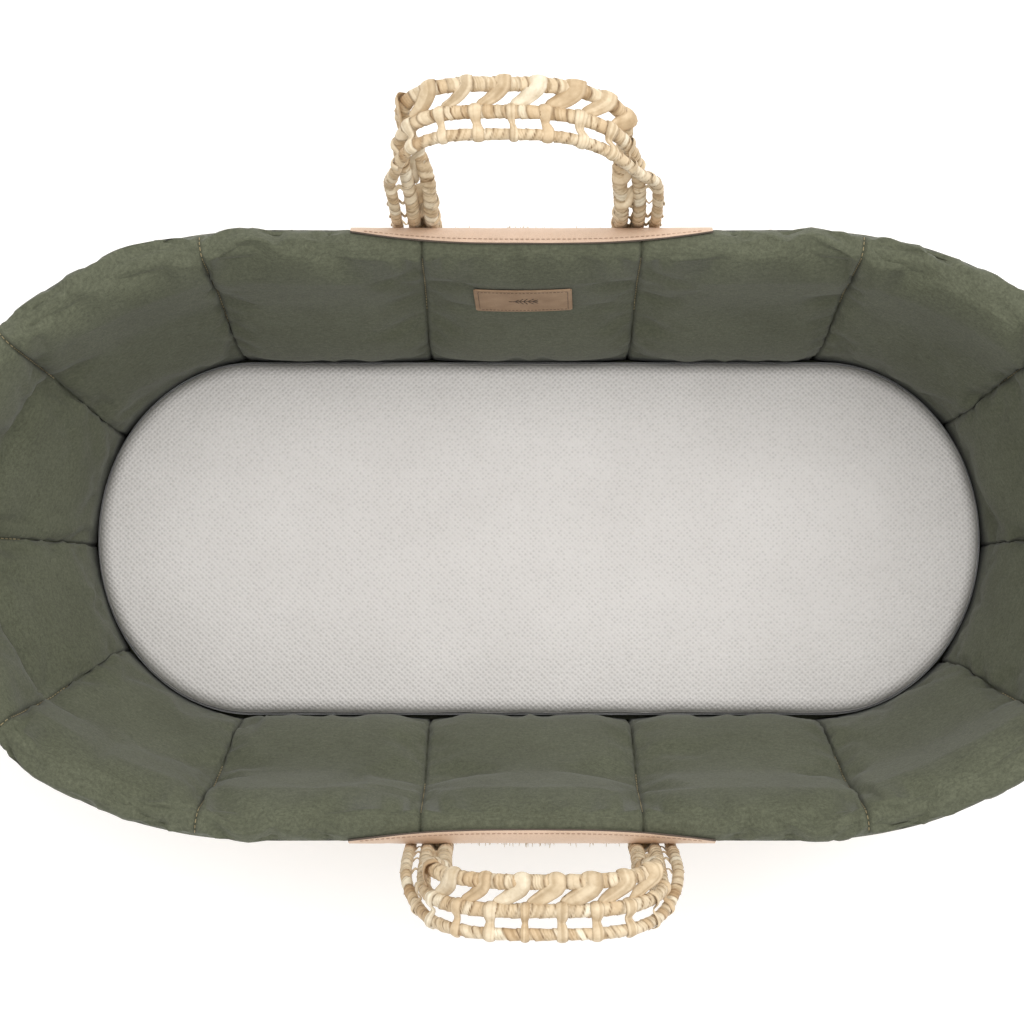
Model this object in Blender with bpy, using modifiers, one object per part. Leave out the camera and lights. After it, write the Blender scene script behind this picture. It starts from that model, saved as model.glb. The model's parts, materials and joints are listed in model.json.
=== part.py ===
"""A palm-leaf moses basket: woven basket, padded liner over its rim, two strap handles and a zipped mattress.

Everything round the basket is swept or lofted along one oval line, the spine, which is the foot of the
wall's inner face. A section point is (out, up): how far outside the spine, and how high.
"""

import math

import bmesh
import bpy
from mathutils import Matrix, Vector

# Driving dimensions, in metres.
SPINE_HALF_LENGTH = 0.408
SPINE_HALF_WIDTH = 0.168
SPINE_ROUNDNESS = 1.20  # an end's reach along X, as a share of the half width
WALL_HEIGHT = 0.236
WALL_FLARE = 0.048  # how far the wall leans out from foot to rim
WALL_THICKNESS = 0.008
SHEER = 0.12  # how much higher the wall is at the ends than at the middle
RIM_RADIUS = 0.0065
BASE_THICKNESS = 0.010
LINER_PAD = 0.014
LINER_END_FULLNESS = 0.012  # how much further in the liner stands at the foot of each end
LINER_END_FROM = 0.34  # how far along X that starts
LINER_FOOT = 0.0145
LINER_OVER_RIM = 0.006
SKIRT_DROP = 0.055
MATTRESS_LENGTH = 0.745
MATTRESS_WIDTH = 0.295
MATTRESS_THICKNESS = 0.042
MATTRESS_ROUNDNESS = 0.88
MATTRESS_FOOT = 0.0140
MATTRESS_SHIFT = (0.008, 0.006)  # it lies a little off the middle
MATTRESS_CLEARANCE = 0.0048  # between it and the liner, which leans in to it
LEAN_FROM, LEAN_TO = 0.045, 0.150  # the heights between which the liner leans in
LABEL_SIZE = (0.077, 0.0012, 0.050)
LABEL_X = -0.006
LABEL_FOOT = 0.168
LABEL_PROUD = 0.0022  # how far its middle stands off the liner
TRIM_THICKNESS = 0.0016
TRIM_DROP = 0.016
HANDLE_HALF_SPAN = 0.086  # from the middle to the middle cord of a leg
CORD_RADIUS = 0.0045
LEG_PITCH = 0.0135  # between cords where the strap is narrow
TOP_PITCH = 0.0185  # and where it is wide
LOOP_HEIGHT = 0.130
LOOP_CORNER = (0.056, 0.048)  # across and along
LOOP_FOOT = 0.006
TWIST_FROM, TWIST_TO = 0.042, 0.088  # where a leg turns its face from the wall to the sky
TAIL_FOOT = 0.060
TAIL_HALF_THICKNESS = 0.0035
TAIL_CLEARANCE = 0.0030  # between it and the wall
LASHING_FEET = {"lower": 0.082, "upper": 0.150}
LASHING_HEIGHT = 0.010
LASHING_THICKNESS = 0.0018
GAP = 0.0005  # between pieces that touch

# Each handle: its side, the sign of its Y, how many degrees it leans out, whether its outer edge turns
# outward (1) or in (-1) over the top, where its middle is, and how far its top leans aside.
HANDLES = (
    ("front", -1, 13, 1, 0.007, 0.0),
    ("rear", 1, 24.5, -1, -0.004, -0.020),
)

# Where the liner's seams and the skirts' ends are, along the spine from the middle of a long side.
SEAMS = (0.084, 0.2445, 0.3761)
SKIRT_END = 0.139

# Counts.
PANELS = 14
STEPS_PER_PANEL = 4
STATIONS = PANELS * STEPS_PER_PANEL
COURSES = 5
HANDLE_ZONE = 4  # stations from the middle of a long side to a skirt's end

# Worked out from them.
RIM_OUT = WALL_FLARE + WALL_THICKNESS / 2
RIM_UP = WALL_HEIGHT + RIM_RADIUS + GAP
CREST_RADIUS = RIM_RADIUS + GAP + LINER_OVER_RIM
PIVOT_UP = RIM_UP + CREST_RADIUS + 0.008
TAIL_OUT = RIM_OUT + CREST_RADIUS + 0.0075
PIVOT_Y = SPINE_HALF_WIDTH + TAIL_OUT
AXIS_Y = PIVOT_Y + 0.006  # the swing's axis, just outside the strap

PALM = (0.62, 0.50, 0.33)
PALM_LIGHT = (0.72, 0.62, 0.45)
OLIVE = (0.105, 0.115, 0.078)
TAN = (0.56, 0.40, 0.29)
LABEL_TAN = (0.38, 0.23, 0.14)
CREAM = (0.72, 0.68, 0.64)
GREY = (0.28, 0.28, 0.29)
WHITE = (0.85, 0.85, 0.83)


def clear_scene():
    for thing in list(bpy.data.objects):
        bpy.data.objects.remove(thing)


def material(name, colour, roughness=0.8, metallic=0.0):
    found = bpy.data.materials.get(name)
    if found:
        return found
    made = bpy.data.materials.new(name)
    made.use_nodes = True
    shader = made.node_tree.nodes["Principled BSDF"]
    shader.inputs["Base Color"].default_value = (*colour, 1.0)
    shader.inputs["Roughness"].default_value = roughness
    shader.inputs["Metallic"].default_value = metallic
    return made


def add_object(name, data, finish, collection):
    made = bpy.data.objects.new(name, data)
    collection.objects.link(made)
    data.materials.append(finish)
    return made


def oval_ring(half_length, half_width, roundness):
    """A fine outline of an oval with straight sides and elliptical ends, from (-half_length, 0),
    anticlockwise seen from above, and the length along it to each point."""
    reach = roundness * half_width
    left = []
    for i in range(181):
        angle = math.pi / 2 + math.pi * i / 180
        left.append((reach - half_length + reach * math.cos(angle), half_width * math.sin(angle)))
    ring = [Vector(p) for p in left[90:] + [(-x, -y) for x, y in left] + left[:91]]
    lengths = [0.0]
    for a, b in zip(ring, ring[1:]):
        lengths.append(lengths[-1] + (b - a).length)
    return ring, lengths


def read_ring(ring, lengths, alongs):
    """The points of a ring at these lengths along it."""
    points = []
    segment = 0
    for along in alongs:
        while lengths[segment + 1] < along:
            segment += 1
        span = lengths[segment + 1] - lengths[segment]
        share = (along - lengths[segment]) / span if span else 0.0
        points.append(ring[segment].lerp(ring[segment + 1], share))
    return points


def oval(half_length, half_width, roundness, count):
    ring, lengths = oval_ring(half_length, half_width, roundness)
    return read_ring(ring, lengths, [lengths[-1] * i / count for i in range(count)])


def spine_stations():
    """The lengths along the spine of its stations: STEPS_PER_PANEL to a panel, and the same in each of the
    four quarters. A quarter is first measured from the middle of a long side."""
    ring, lengths = oval_ring(SPINE_HALF_LENGTH, SPINE_HALF_WIDTH, SPINE_ROUNDNESS)
    quarter = lengths[-1] / 4
    marks = [0.0, SEAMS[0] / 2, SEAMS[0], (SEAMS[0] + SKIRT_END) / 2, SKIRT_END]
    marks += [(SKIRT_END + SEAMS[1]) / 2, SEAMS[1]]
    for first, last in ((SEAMS[1], SEAMS[2]), (SEAMS[2], quarter)):
        marks += [first + (last - first) * i / STEPS_PER_PANEL for i in range(1, STEPS_PER_PANEL + 1)]
    there = [quarter - mark for mark in reversed(marks)]
    alongs = []
    for turn in range(4):
        steps = marks if turn % 2 else there
        alongs += [turn * quarter + step for step in steps[:-1]]
    return read_ring(ring, lengths, alongs)


def outward(points):
    """The outward normal at each point of a closed anticlockwise outline."""
    normals = []
    for i, here in enumerate(points):
        before, after = points[i - 1], points[(i + 1) % len(points)]
        along = (here - before).normalized() + (after - here).normalized()
        normals.append(Vector((along.y, -along.x)).normalized())
    return normals


SPINE = spine_stations()
NORMALS = outward(SPINE)
FRONT_MIDDLE = STATIONS // 4
REAR_MIDDLE = 3 * STATIONS // 4


def sheer(point):
    """Lifts a point of the wall towards the ends, as the basket's rim rises there."""
    share = point.x / (SPINE_HALF_LENGTH + WALL_FLARE)
    return Vector((point.x, point.y, point.z * (1 + SHEER * share * share)))


def at(station, out, up, slide=0.0):
    """The place of a section point at a station. slide moves it along the spine."""
    station %= STATIONS
    normal = NORMALS[station]
    flat = SPINE[station] + normal * out + Vector((-normal.y, normal.x)) * slide
    return sheer(Vector((flat.x, flat.y, up)))


def wall_out(up):
    """How far out the wall's inner face is at a height."""
    return WALL_FLARE * (max(up, 0.0) / WALL_HEIGHT) ** 0.8


def add_empty(name, location, collection):
    made = bpy.data.objects.new(name, None)
    made.location = location
    collection.objects.link(made)
    return made


def loft(name, sections, finish, collection, closed=False):
    """A solid through sections, which are equal lists of points, each a closed outline."""
    mesh = bpy.data.meshes.new(name)
    work = bmesh.new()
    rings = [[work.verts.new(point) for point in section] for section in sections]
    pairs = list(zip(rings, rings[1:] + ([rings[0]] if closed else [])))
    for first, second in pairs[: len(rings) if closed else len(rings) - 1]:
        for i in range(len(first)):
            j = (i + 1) % len(first)
            work.faces.new((first[i], first[j], second[j], second[i]))
    if not closed:
        work.faces.new(rings[0])
        work.faces.new(rings[-1])
    bmesh.ops.recalc_face_normals(work, faces=work.faces)
    work.to_mesh(mesh)
    work.free()
    mesh.shade_smooth()
    mesh.set_sharp_from_angle(angle=math.radians(40))
    return add_object(name, mesh, finish, collection)


def ring_solid(name, section, finish, collection):
    """A section carried right round the basket."""
    sections = [[at(s, out, up) for out, up in section] for s in range(STATIONS)]
    return loft(name, sections, finish, collection, closed=True)


def tube(name, points, radius, finish, collection, sides=6):
    """A round cord along points, as a poly curve with a bevel."""
    curve = bpy.data.curves.new(name, "CURVE")
    curve.dimensions = "3D"
    curve.bevel_depth = radius
    curve.bevel_resolution = max(0, (sides - 4) // 2)
    curve.use_fill_caps = True
    spline = curve.splines.new("POLY")
    spline.points.add(len(points) - 1)
    for spot, point in zip(spline.points, points):
        spot.co = (*point, 1.0)
    return add_object(name, curve, finish, collection)


def flat_plate(name, outline, thickness, finish, collection):
    """A flat solid with this outline in its own XY plane, centred on it."""
    curve = bpy.data.curves.new(name, "CURVE")
    curve.dimensions = "2D"
    curve.fill_mode = "BOTH"
    curve.extrude = thickness / 2
    spline = curve.splines.new("POLY")
    spline.points.add(len(outline) - 1)
    for spot, (x, y) in zip(spline.points, outline):
        spot.co = (x, y, 0.0, 1.0)
    spline.use_cyclic_u = True
    return add_object(name, curve, finish, collection)


def grown(points, amount):
    return [(p + n * amount)[:] for p, n in zip(points, outward(points))]


# The basket.


def wall_course(index, finish, collection):
    """One row of plaited palm, a band with a bulged outer face."""
    low = WALL_HEIGHT * index / COURSES + (GAP / 2 if index else 0.0)
    high = WALL_HEIGHT * (index + 1) / COURSES - GAP / 2
    middle = (low + high) / 2
    bulge = 0.0015
    section = [
        (wall_out(low), low),
        (wall_out(low) + WALL_THICKNESS, low),
        (wall_out(middle) + WALL_THICKNESS + bulge, middle),
        (wall_out(high) + WALL_THICKNESS, high),
        (wall_out(high), high),
        (wall_out(middle), middle),
    ]
    return ring_solid(f"wall_course_{index + 1}", section, finish, collection)


def rim_cord(finish, collection):
    section = []
    for i in range(8):
        angle = 2 * math.pi * i / 8
        section.append((RIM_OUT + RIM_RADIUS * math.cos(angle), RIM_UP + RIM_RADIUS * math.sin(angle)))
    return ring_solid("rim_cord", section, finish, collection)


def basket(collection):
    palm = material("palm", PALM)
    base = flat_plate("woven_base", grown(SPINE, -GAP), BASE_THICKNESS, palm, collection)
    base.location.z = BASE_THICKNESS / 2
    for index in range(COURSES):
        wall_course(index, palm, collection)
    rim_cord(material("rim_palm", PALM_LIGHT), collection)


# The liner.


def pad_thickness(up, fullness):
    """How thick the padding is at a height. fullness is 0 at a seam and 1 mid-panel."""
    share = min(max(up / WALL_HEIGHT, 0.0), 1.0)
    foot = min(1.0, 0.5 + 1.6 * share)
    return LINER_PAD * foot * (0.5 + 0.5 * fullness)


def liner_back(up, station):
    """How far out the liner's back is: on the wall, but standing off it at the foot of each end."""
    past = abs(SPINE[station % STATIONS].x) - LINER_END_FROM
    share = min(max(past / (SPINE_HALF_LENGTH - LINER_END_FROM), 0.0), 1.0)
    stand = LINER_END_FULLNESS * share * share * (3 - 2 * share)
    return wall_out(up) - 2 * GAP - stand * max(0.0, 1 - up / WALL_HEIGHT)


def over_mattress(point):
    """True where a point is above the mattress, seen from above."""
    x, y = abs(point.x - MATTRESS_SHIFT[0]), abs(point.y - MATTRESS_SHIFT[1])
    half_width = MATTRESS_WIDTH / 2
    reach = MATTRESS_ROUNDNESS * half_width
    past = max(0.0, x - (MATTRESS_LENGTH / 2 - reach)) / reach
    return past**2 + (y / half_width) ** 2 < 1


def room_beside_mattress(station):
    """How far in from the spine the liner can stand at a station."""
    station %= STATIONS
    inward = 0.0
    while not over_mattress(SPINE[station] - NORMALS[station] * inward):
        inward += 0.0002
    return inward - MATTRESS_CLEARANCE


def liner_face(up, station, fullness):
    """How far out the liner's face is. Below LEAN_TO it leans in to the mattress's side."""
    quilted = liner_back(up, station) - pad_thickness(up, fullness)
    lean = min(1.0, max(0.0, (LEAN_TO - up) / (LEAN_TO - LEAN_FROM)))
    return quilted * (1 - lean) - room_beside_mattress(station) * lean


def panel_section(station, fullness, slide):
    """The closed outline of a liner panel: up its inner face, over the rim, and back down the wall."""
    heights = [LINER_FOOT, 0.045, 0.090, 0.150, 0.205]
    face = [(liner_face(up, station, fullness), up) for up in heights]
    outer, inner = [], []
    for degrees in (150, 115, 80, 40, 5):
        angle = math.radians(degrees)
        puff = CREST_RADIUS - (1 - fullness) * 0.0015
        outer.append((RIM_OUT + puff * math.cos(angle), RIM_UP + puff * math.sin(angle)))
    clear = RIM_RADIUS + GAP
    for degrees in (5, 50, 90, 135, 180):
        angle = math.radians(degrees)
        inner.append((RIM_OUT + clear * math.cos(angle), RIM_UP + clear * math.sin(angle)))
    back = [(liner_back(up, station), up) for up in (0.215, 0.150, 0.085, 0.035, LINER_FOOT)]
    return [at(station, out, up, slide) for out, up in face + outer + inner + back]


def liner_panels(collection):
    cloth = material("liner_fabric", OLIVE, 0.9)
    for panel in range(PANELS):
        sections = []
        for step in range(STEPS_PER_PANEL + 1):
            share = step / STEPS_PER_PANEL
            fullness = math.sin(math.pi * share) ** 0.6 if 0 < share < 1 else 0.0
            slide = GAP / 2 if step == 0 else -GAP / 2 if step == STEPS_PER_PANEL else 0.0
            sections.append(panel_section(panel * STEPS_PER_PANEL + step, fullness, slide))
        loft(f"liner_panel_{panel + 1:02d}", sections, cloth, collection)


SKIRT_FOOT = RIM_UP - SKIRT_DROP
ELASTIC_RADIUS = 0.0016
ELASTIC_OUT = wall_out(SKIRT_FOOT) + WALL_THICKNESS + 0.0070
SKIRT_THICKNESS = 0.0016


def skirt_section(station, slide):
    """The liner's fold down the outside, with a hem that hooks up round the elastic."""
    top_out = RIM_OUT + CREST_RADIUS
    hook = ELASTIC_RADIUS + GAP
    hem = hook + SKIRT_THICKNESS
    outline = [
        (top_out, RIM_UP - GAP),
        (top_out - 0.0005, RIM_UP - 0.02),
        (ELASTIC_OUT + hem, SKIRT_FOOT + 0.008),
        (ELASTIC_OUT + hem, SKIRT_FOOT - hook),
        (ELASTIC_OUT + hook, SKIRT_FOOT - hem),
        (ELASTIC_OUT - hook, SKIRT_FOOT - hem),
        (ELASTIC_OUT - hem, SKIRT_FOOT - hook),
        (ELASTIC_OUT - hem, SKIRT_FOOT + 0.007),
        (ELASTIC_OUT - hook, SKIRT_FOOT + 0.007),
        (ELASTIC_OUT - hook, SKIRT_FOOT - hook),
        (ELASTIC_OUT + hook, SKIRT_FOOT - hook),
        (ELASTIC_OUT + hook, SKIRT_FOOT + 0.008),
        (top_out - 0.0005 - SKIRT_THICKNESS, RIM_UP - 0.02),
        (top_out - SKIRT_THICKNESS, RIM_UP - GAP),
    ]
    return [at(station, out, up, slide) for out, up in outline]


def skirts(collection):
    """The skirt and its elastic round each end, between the two handles."""
    cloth = material("liner_fabric", OLIVE, 0.9)
    elastic = material("elastic", WHITE, 0.7)
    for side, first, last in (
        ("left", REAR_MIDDLE + HANDLE_ZONE, STATIONS + FRONT_MIDDLE - HANDLE_ZONE),
        ("right", FRONT_MIDDLE + HANDLE_ZONE, REAR_MIDDLE - HANDLE_ZONE),
    ):
        stations = range(first, last + 1)
        sections = []
        for s in stations:
            slide = GAP if s == first else -GAP if s == last else 0.0
            sections.append(skirt_section(s, slide))
        loft(f"skirt_{side}", sections, cloth, collection)
        line = [at(s, ELASTIC_OUT, SKIRT_FOOT) for s in stations]
        tube(f"elastic_{side}", line, ELASTIC_RADIUS, elastic, collection)


def trim_section(station, top_degrees):
    """A leather strip over the rim's outer half, from top_degrees above level down past the rim."""
    inner = CREST_RADIUS + GAP
    outer = inner + TRIM_THICKNESS
    foot = RIM_UP - TRIM_DROP
    angles = [math.radians(top_degrees * (1 - i / 3)) for i in range(4)]
    over = [(RIM_OUT + outer * math.cos(a), RIM_UP + outer * math.sin(a)) for a in angles]
    under = [(RIM_OUT + inner * math.cos(a), RIM_UP + inner * math.sin(a)) for a in angles]
    outline = over + [(RIM_OUT + outer, foot), (RIM_OUT + inner, foot)] + under[::-1]
    return [at(station, out, up) for out, up in outline]


def trims(collection):
    leather = material("trim_leather", TAN, 0.55)
    for side, middle in (("front", FRONT_MIDDLE), ("rear", REAR_MIDDLE)):
        sections = []
        for offset in range(-HANDLE_ZONE, HANDLE_ZONE + 1):
            share = abs(offset) / HANDLE_ZONE
            top = 72 - 40 * share**3
            sections.append(trim_section(middle + offset, top))
        loft(f"{side}_trim", sections, leather, collection)


def liner_floor(collection):
    cloth = material("liner_fabric", OLIVE, 0.9)
    sheet = flat_plate("liner_floor", grown(SPINE, -0.002), 0.002, cloth, collection)
    sheet.location.z = BASE_THICKNESS + GAP + 0.001


def label(collection):
    """A plain leather label on the rear middle panel, leaning with the wall."""
    leather = material("label_leather", LABEL_TAN, 0.6)
    low, high = LABEL_FOOT, LABEL_FOOT + LABEL_SIZE[2]
    face_low = SPINE_HALF_WIDTH + wall_out(low) - GAP - pad_thickness(low, 1.0)
    face_high = SPINE_HALF_WIDTH + wall_out(high) - GAP - pad_thickness(high, 1.0)
    lean = math.atan2(face_high - face_low, high - low)
    bpy.ops.mesh.primitive_cube_add(size=1.0)
    plate = bpy.context.object
    plate.name = "label"
    plate.data.transform(Matrix.Diagonal((*LABEL_SIZE, 1.0)))
    plate.rotation_euler.x = -lean
    plate.location = (LABEL_X, (face_low + face_high) / 2 - LABEL_PROUD, (low + high) / 2)
    plate.data.materials.append(leather)
    for owner in list(plate.users_collection):
        owner.objects.unlink(plate)
    collection.objects.link(plate)


# The handles.


def loop_line(pitch):
    """(x, along, along_x, turn) along a handle's loop, about pitch apart: up one leg, over, and down the
    other. along_x is the x part of the outward normal and turn is how far the strap has twisted, 0 to 1."""
    across, rise = LOOP_CORNER
    knee = LOOP_HEIGHT - rise
    left = []
    legs = round((knee - LOOP_FOOT) / pitch)
    for i in range(legs):
        along = LOOP_FOOT + (knee - LOOP_FOOT) * i / legs
        left.append((-HANDLE_HALF_SPAN, along, -1.0, 0.0))
    corner = max(4, round(math.pi / 2 * (across + rise) / 2 / pitch))
    for i in range(corner):
        angle = math.pi / 2 * i / corner
        x = -HANDLE_HALF_SPAN + across * (1 - math.cos(angle))
        normal = Vector((-math.cos(angle) / across, math.sin(angle) / rise)).normalized()
        left.append((x, knee + rise * math.sin(angle), normal.x, normal.y))
    flat = HANDLE_HALF_SPAN - across
    top = max(1, round(flat / pitch))
    for i in range(top):
        left.append((-flat + flat * i / top, LOOP_HEIGHT, 0.0, 1.0))
    right = [(-x, along, -normal_x, normal_z) for x, along, normal_x, normal_z in reversed(left)]
    return left + [(0.0, LOOP_HEIGHT, 0.0, 1.0)] + right


def strap_place(spot, offset, sign, lean, roll):
    """Where a point of the strap is from the swing's axis, offset from its middle line. The strap's width
    runs along the wall in the legs and turns to run across the basket over the top. roll is 1 if its outer
    edge turns outward and -1 if it turns in."""
    x, along, normal_x, normal_z = spot
    share = min(max((along - TWIST_FROM) / (TWIST_TO - TWIST_FROM), 0.0), 1.0)
    twist = math.pi / 2 * share * share * (3 - 2 * share)
    up = Vector((0.0, sign * math.sin(lean), math.cos(lean)))
    width = (Vector((normal_x, 0.0, 0.0)) + up * normal_z) * math.cos(twist)
    width += Vector((0.0, sign * roll, 0.0)) * math.sin(twist)
    foot = Vector((x, sign * (PIVOT_Y - AXIS_Y), 0.0))
    return foot + up * along + width * offset


def pitch_at(along):
    """How far apart the cords are at a distance along the strap."""
    share = min(max(along / TWIST_TO, 0.0), 1.0)
    return LEG_PITCH + (TOP_PITCH - LEG_PITCH) * share * share


def handle(side, sign, lean, roll, centre, skew, collection):
    """Three wrapped cords with lacing between them, hung on an empty on the swing's axis. sign is -1 at the
    front and 1 at the rear. The loop's top leans skew to one side."""
    palm = material("handle_palm", PALM_LIGHT)
    swing_axis = add_empty(f"{side}_handle_swing", (centre, sign * AXIS_Y, PIVOT_UP), collection)

    def place(spot, cords_out, aside):
        along = spot[1]
        there = strap_place(spot, cords_out * pitch_at(along) + aside, sign, lean, roll)
        there.x += skew * (along / LOOP_HEIGHT) ** 2
        return there

    for name, cords_out in (("inner", -1), ("middle", 0), ("outer", 1)):
        line = [place(spot, cords_out, 0.0) for spot in loop_line(0.014)]
        cord = tube(f"{side}_handle_{name}_cord", line, CORD_RADIUS, palm, collection)
        cord.parent = swing_axis
    lace_radius = 0.0016
    for name, cords_out in (("inner", -0.5), ("outer", 0.5)):
        line = []
        for i, spot in enumerate(loop_line(0.0095)):
            room = pitch_at(spot[1]) / 2 - CORD_RADIUS - lace_radius - 0.0005
            swing = max(0.0, room - 0.0004)
            line.append(place(spot, cords_out, swing if i % 2 else -swing))
        lacing = tube(f"{side}_handle_{name}_lacing", line, lace_radius, palm, collection, sides=4)
        lacing.parent = swing_axis


def tail_section(x, sign, up, half_width):
    """A flat oblong across the strap, where it lies down the outside of the wall."""
    half = TAIL_HALF_THICKNESS
    wall = wall_out(up) + WALL_THICKNESS + TAIL_CLEARANCE + half
    share = min(max((up - 0.180) / 0.045, 0.0), 1.0)
    smooth = share * share * (3 - 2 * share)
    y = SPINE_HALF_WIDTH + wall + (TAIL_OUT - wall) * smooth
    corners = [(-half_width, -half), (half_width, -half), (half_width, half), (-half_width, half)]
    return [(x + dx, sign * (y + dy), up) for dx, dy in corners]


def tails(side, sign, centre, collection):
    """Each leg's end, flat against the outside of the wall, with two lashings across it."""
    palm = material("handle_palm", PALM_LIGHT)
    half_width = LEG_PITCH + CORD_RADIUS
    for hand, x in (("left", centre - HANDLE_HALF_SPAN), ("right", centre + HANDLE_HALF_SPAN)):
        heights = [TAIL_FOOT, 0.100, 0.140, 0.180, 0.195, 0.210, 0.225, PIVOT_UP - 0.0075]
        sections = [tail_section(x, sign, up, half_width) for up in heights]
        loft(f"{side}_{hand}_handle_tail", sections, palm, collection)
        for place, low in LASHING_FEET.items():
            lashing(f"{side}_{hand}_lashing_{place}", x, sign, low, half_width, palm, collection)


def lashing(name, x, sign, low, half_width, finish, collection):
    """A palm-leaf binding over a tail, a shallow U whose ends come down beside it to the wall."""
    sections = []
    for up in (low, low + LASHING_HEIGHT):
        tail_back = SPINE_HALF_WIDTH + wall_out(up) + WALL_THICKNESS + TAIL_CLEARANCE
        inside = tail_back + 2 * TAIL_HALF_THICKNESS + 0.0007
        outside = inside + LASHING_THICKNESS
        wall = tail_back - 0.0008
        reach = half_width + 0.0008
        wide = reach + LASHING_THICKNESS
        outline = [
            (-wide, wall),
            (-reach, wall),
            (-reach, inside),
            (reach, inside),
            (reach, wall),
            (wide, wall),
            (wide, outside),
            (-wide, outside),
        ]
        sections.append([(x + dx, sign * y, up) for dx, y in outline])
    loft(name, sections, finish, collection)


# The mattress.


MATTRESS_OUTLINE = oval(MATTRESS_LENGTH / 2, MATTRESS_WIDTH / 2, MATTRESS_ROUNDNESS, 48)
ZIP_UP = MATTRESS_FOOT + 0.014
ZIP_HEIGHT = 0.007
COVER_THICKNESS = 0.0015


def cover(name, flat_up, open_up, finish, collection):
    """Half of the cover: a flat face at flat_up, with a side that runs to open_up."""
    mesh = bpy.data.meshes.new(name)
    work = bmesh.new()
    face = work.faces.new([work.verts.new((p.x, p.y, flat_up)) for p in MATTRESS_OUTLINE])
    edges = bmesh.ops.extrude_edge_only(work, edges=list(face.edges))
    for thing in edges["geom"]:
        if isinstance(thing, bmesh.types.BMVert):
            thing.co.z = open_up
    bmesh.ops.recalc_face_normals(work, faces=work.faces)
    if face.normal.z * (flat_up - open_up) < 0:
        bmesh.ops.reverse_faces(work, faces=work.faces)
    work.to_mesh(mesh)
    work.free()
    made = add_object(name, mesh, finish, collection)
    shell = made.modifiers.new("Cloth thickness", "SOLIDIFY")
    shell.thickness = COVER_THICKNESS
    shell.offset = -1.0
    soft = made.modifiers.new("Soft edge", "BEVEL")
    soft.width = 0.0010
    soft.segments = 1
    soft.limit_method = "ANGLE"
    soft.angle_limit = math.radians(60)
    made.location = (*MATTRESS_SHIFT, 0.0)
    return made


def mattress(collection):
    cream = material("mattress_cover", CREAM, 0.85)
    grey = material("zip_tape", GREY, 0.7)
    foam = material("foam", WHITE, 0.9)
    steel = material("zip_metal", GREY, 0.35, 1.0)
    top = MATTRESS_FOOT + MATTRESS_THICKNESS
    cover("mattress_cover_top", top, ZIP_UP + ZIP_HEIGHT + GAP, cream, collection)
    cover("mattress_cover_bottom", MATTRESS_FOOT, ZIP_UP - GAP, cream, collection)
    inset = COVER_THICKNESS + GAP
    core_height = MATTRESS_THICKNESS - 2 * inset
    core = flat_plate("mattress_core", grown(MATTRESS_OUTLINE, -inset), core_height, foam, collection)
    core.location = (*MATTRESS_SHIFT, MATTRESS_FOOT + MATTRESS_THICKNESS / 2)
    tape_sections = []
    for p, n in zip(MATTRESS_OUTLINE, outward(MATTRESS_OUTLINE)):
        outer = p + Vector(MATTRESS_SHIFT)
        inner = outer - n * COVER_THICKNESS
        low, high = ZIP_UP, ZIP_UP + ZIP_HEIGHT
        tape_sections.append([(*inner, low), (*outer, low), (*outer, high), (*inner, high)])
    loft("zip_tape", tape_sections, grey, collection, closed=True)
    far_side = MATTRESS_WIDTH / 2 + MATTRESS_SHIFT[1]
    for name, size, place in (
        ("zip_slider", (0.011, 0.0016, 0.006), (0.200, far_side + 0.0012, ZIP_UP + ZIP_HEIGHT / 2)),
        ("zip_pull", (0.005, 0.0009, 0.016), (0.200, far_side + 0.0029, ZIP_UP - 0.002)),
    ):
        bpy.ops.mesh.primitive_cube_add(size=1.0)
        block = bpy.context.object
        block.name = name
        block.data.transform(Matrix.Diagonal((*size, 1.0)))
        block.location = place
        block.data.materials.append(steel)
        edge = block.modifiers.new("Rounded edges", "BEVEL")
        edge.width = min(size) * 0.25
        edge.segments = 1
        for owner in list(block.users_collection):
            owner.objects.unlink(block)
        collection.objects.link(block)


def main():
    clear_scene()
    collection = bpy.data.collections.new("moses_basket")
    bpy.context.scene.collection.children.link(collection)
    basket(collection)
    liner_floor(collection)
    liner_panels(collection)
    skirts(collection)
    trims(collection)
    label(collection)
    for side, sign, lean, roll, centre, skew in HANDLES:
        handle(side, sign, math.radians(lean), roll, centre, skew, collection)
        tails(side, sign, centre, collection)
    mattress(collection)


main()
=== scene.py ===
"""The looks of a palm-leaf moses basket, with a quilted liner, wound handles and a knitted mattress.

A place round the basket is (along, out, up): how far along the spine, which is the foot of the wall's inner
face, how far outside it, and how high. along starts at the -X end and runs anticlockwise.
"""

import json
import math

import bmesh
import bpy
import numpy as np
from mathutils import Matrix, Vector
from mathutils.bvhtree import BVHTree


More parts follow.
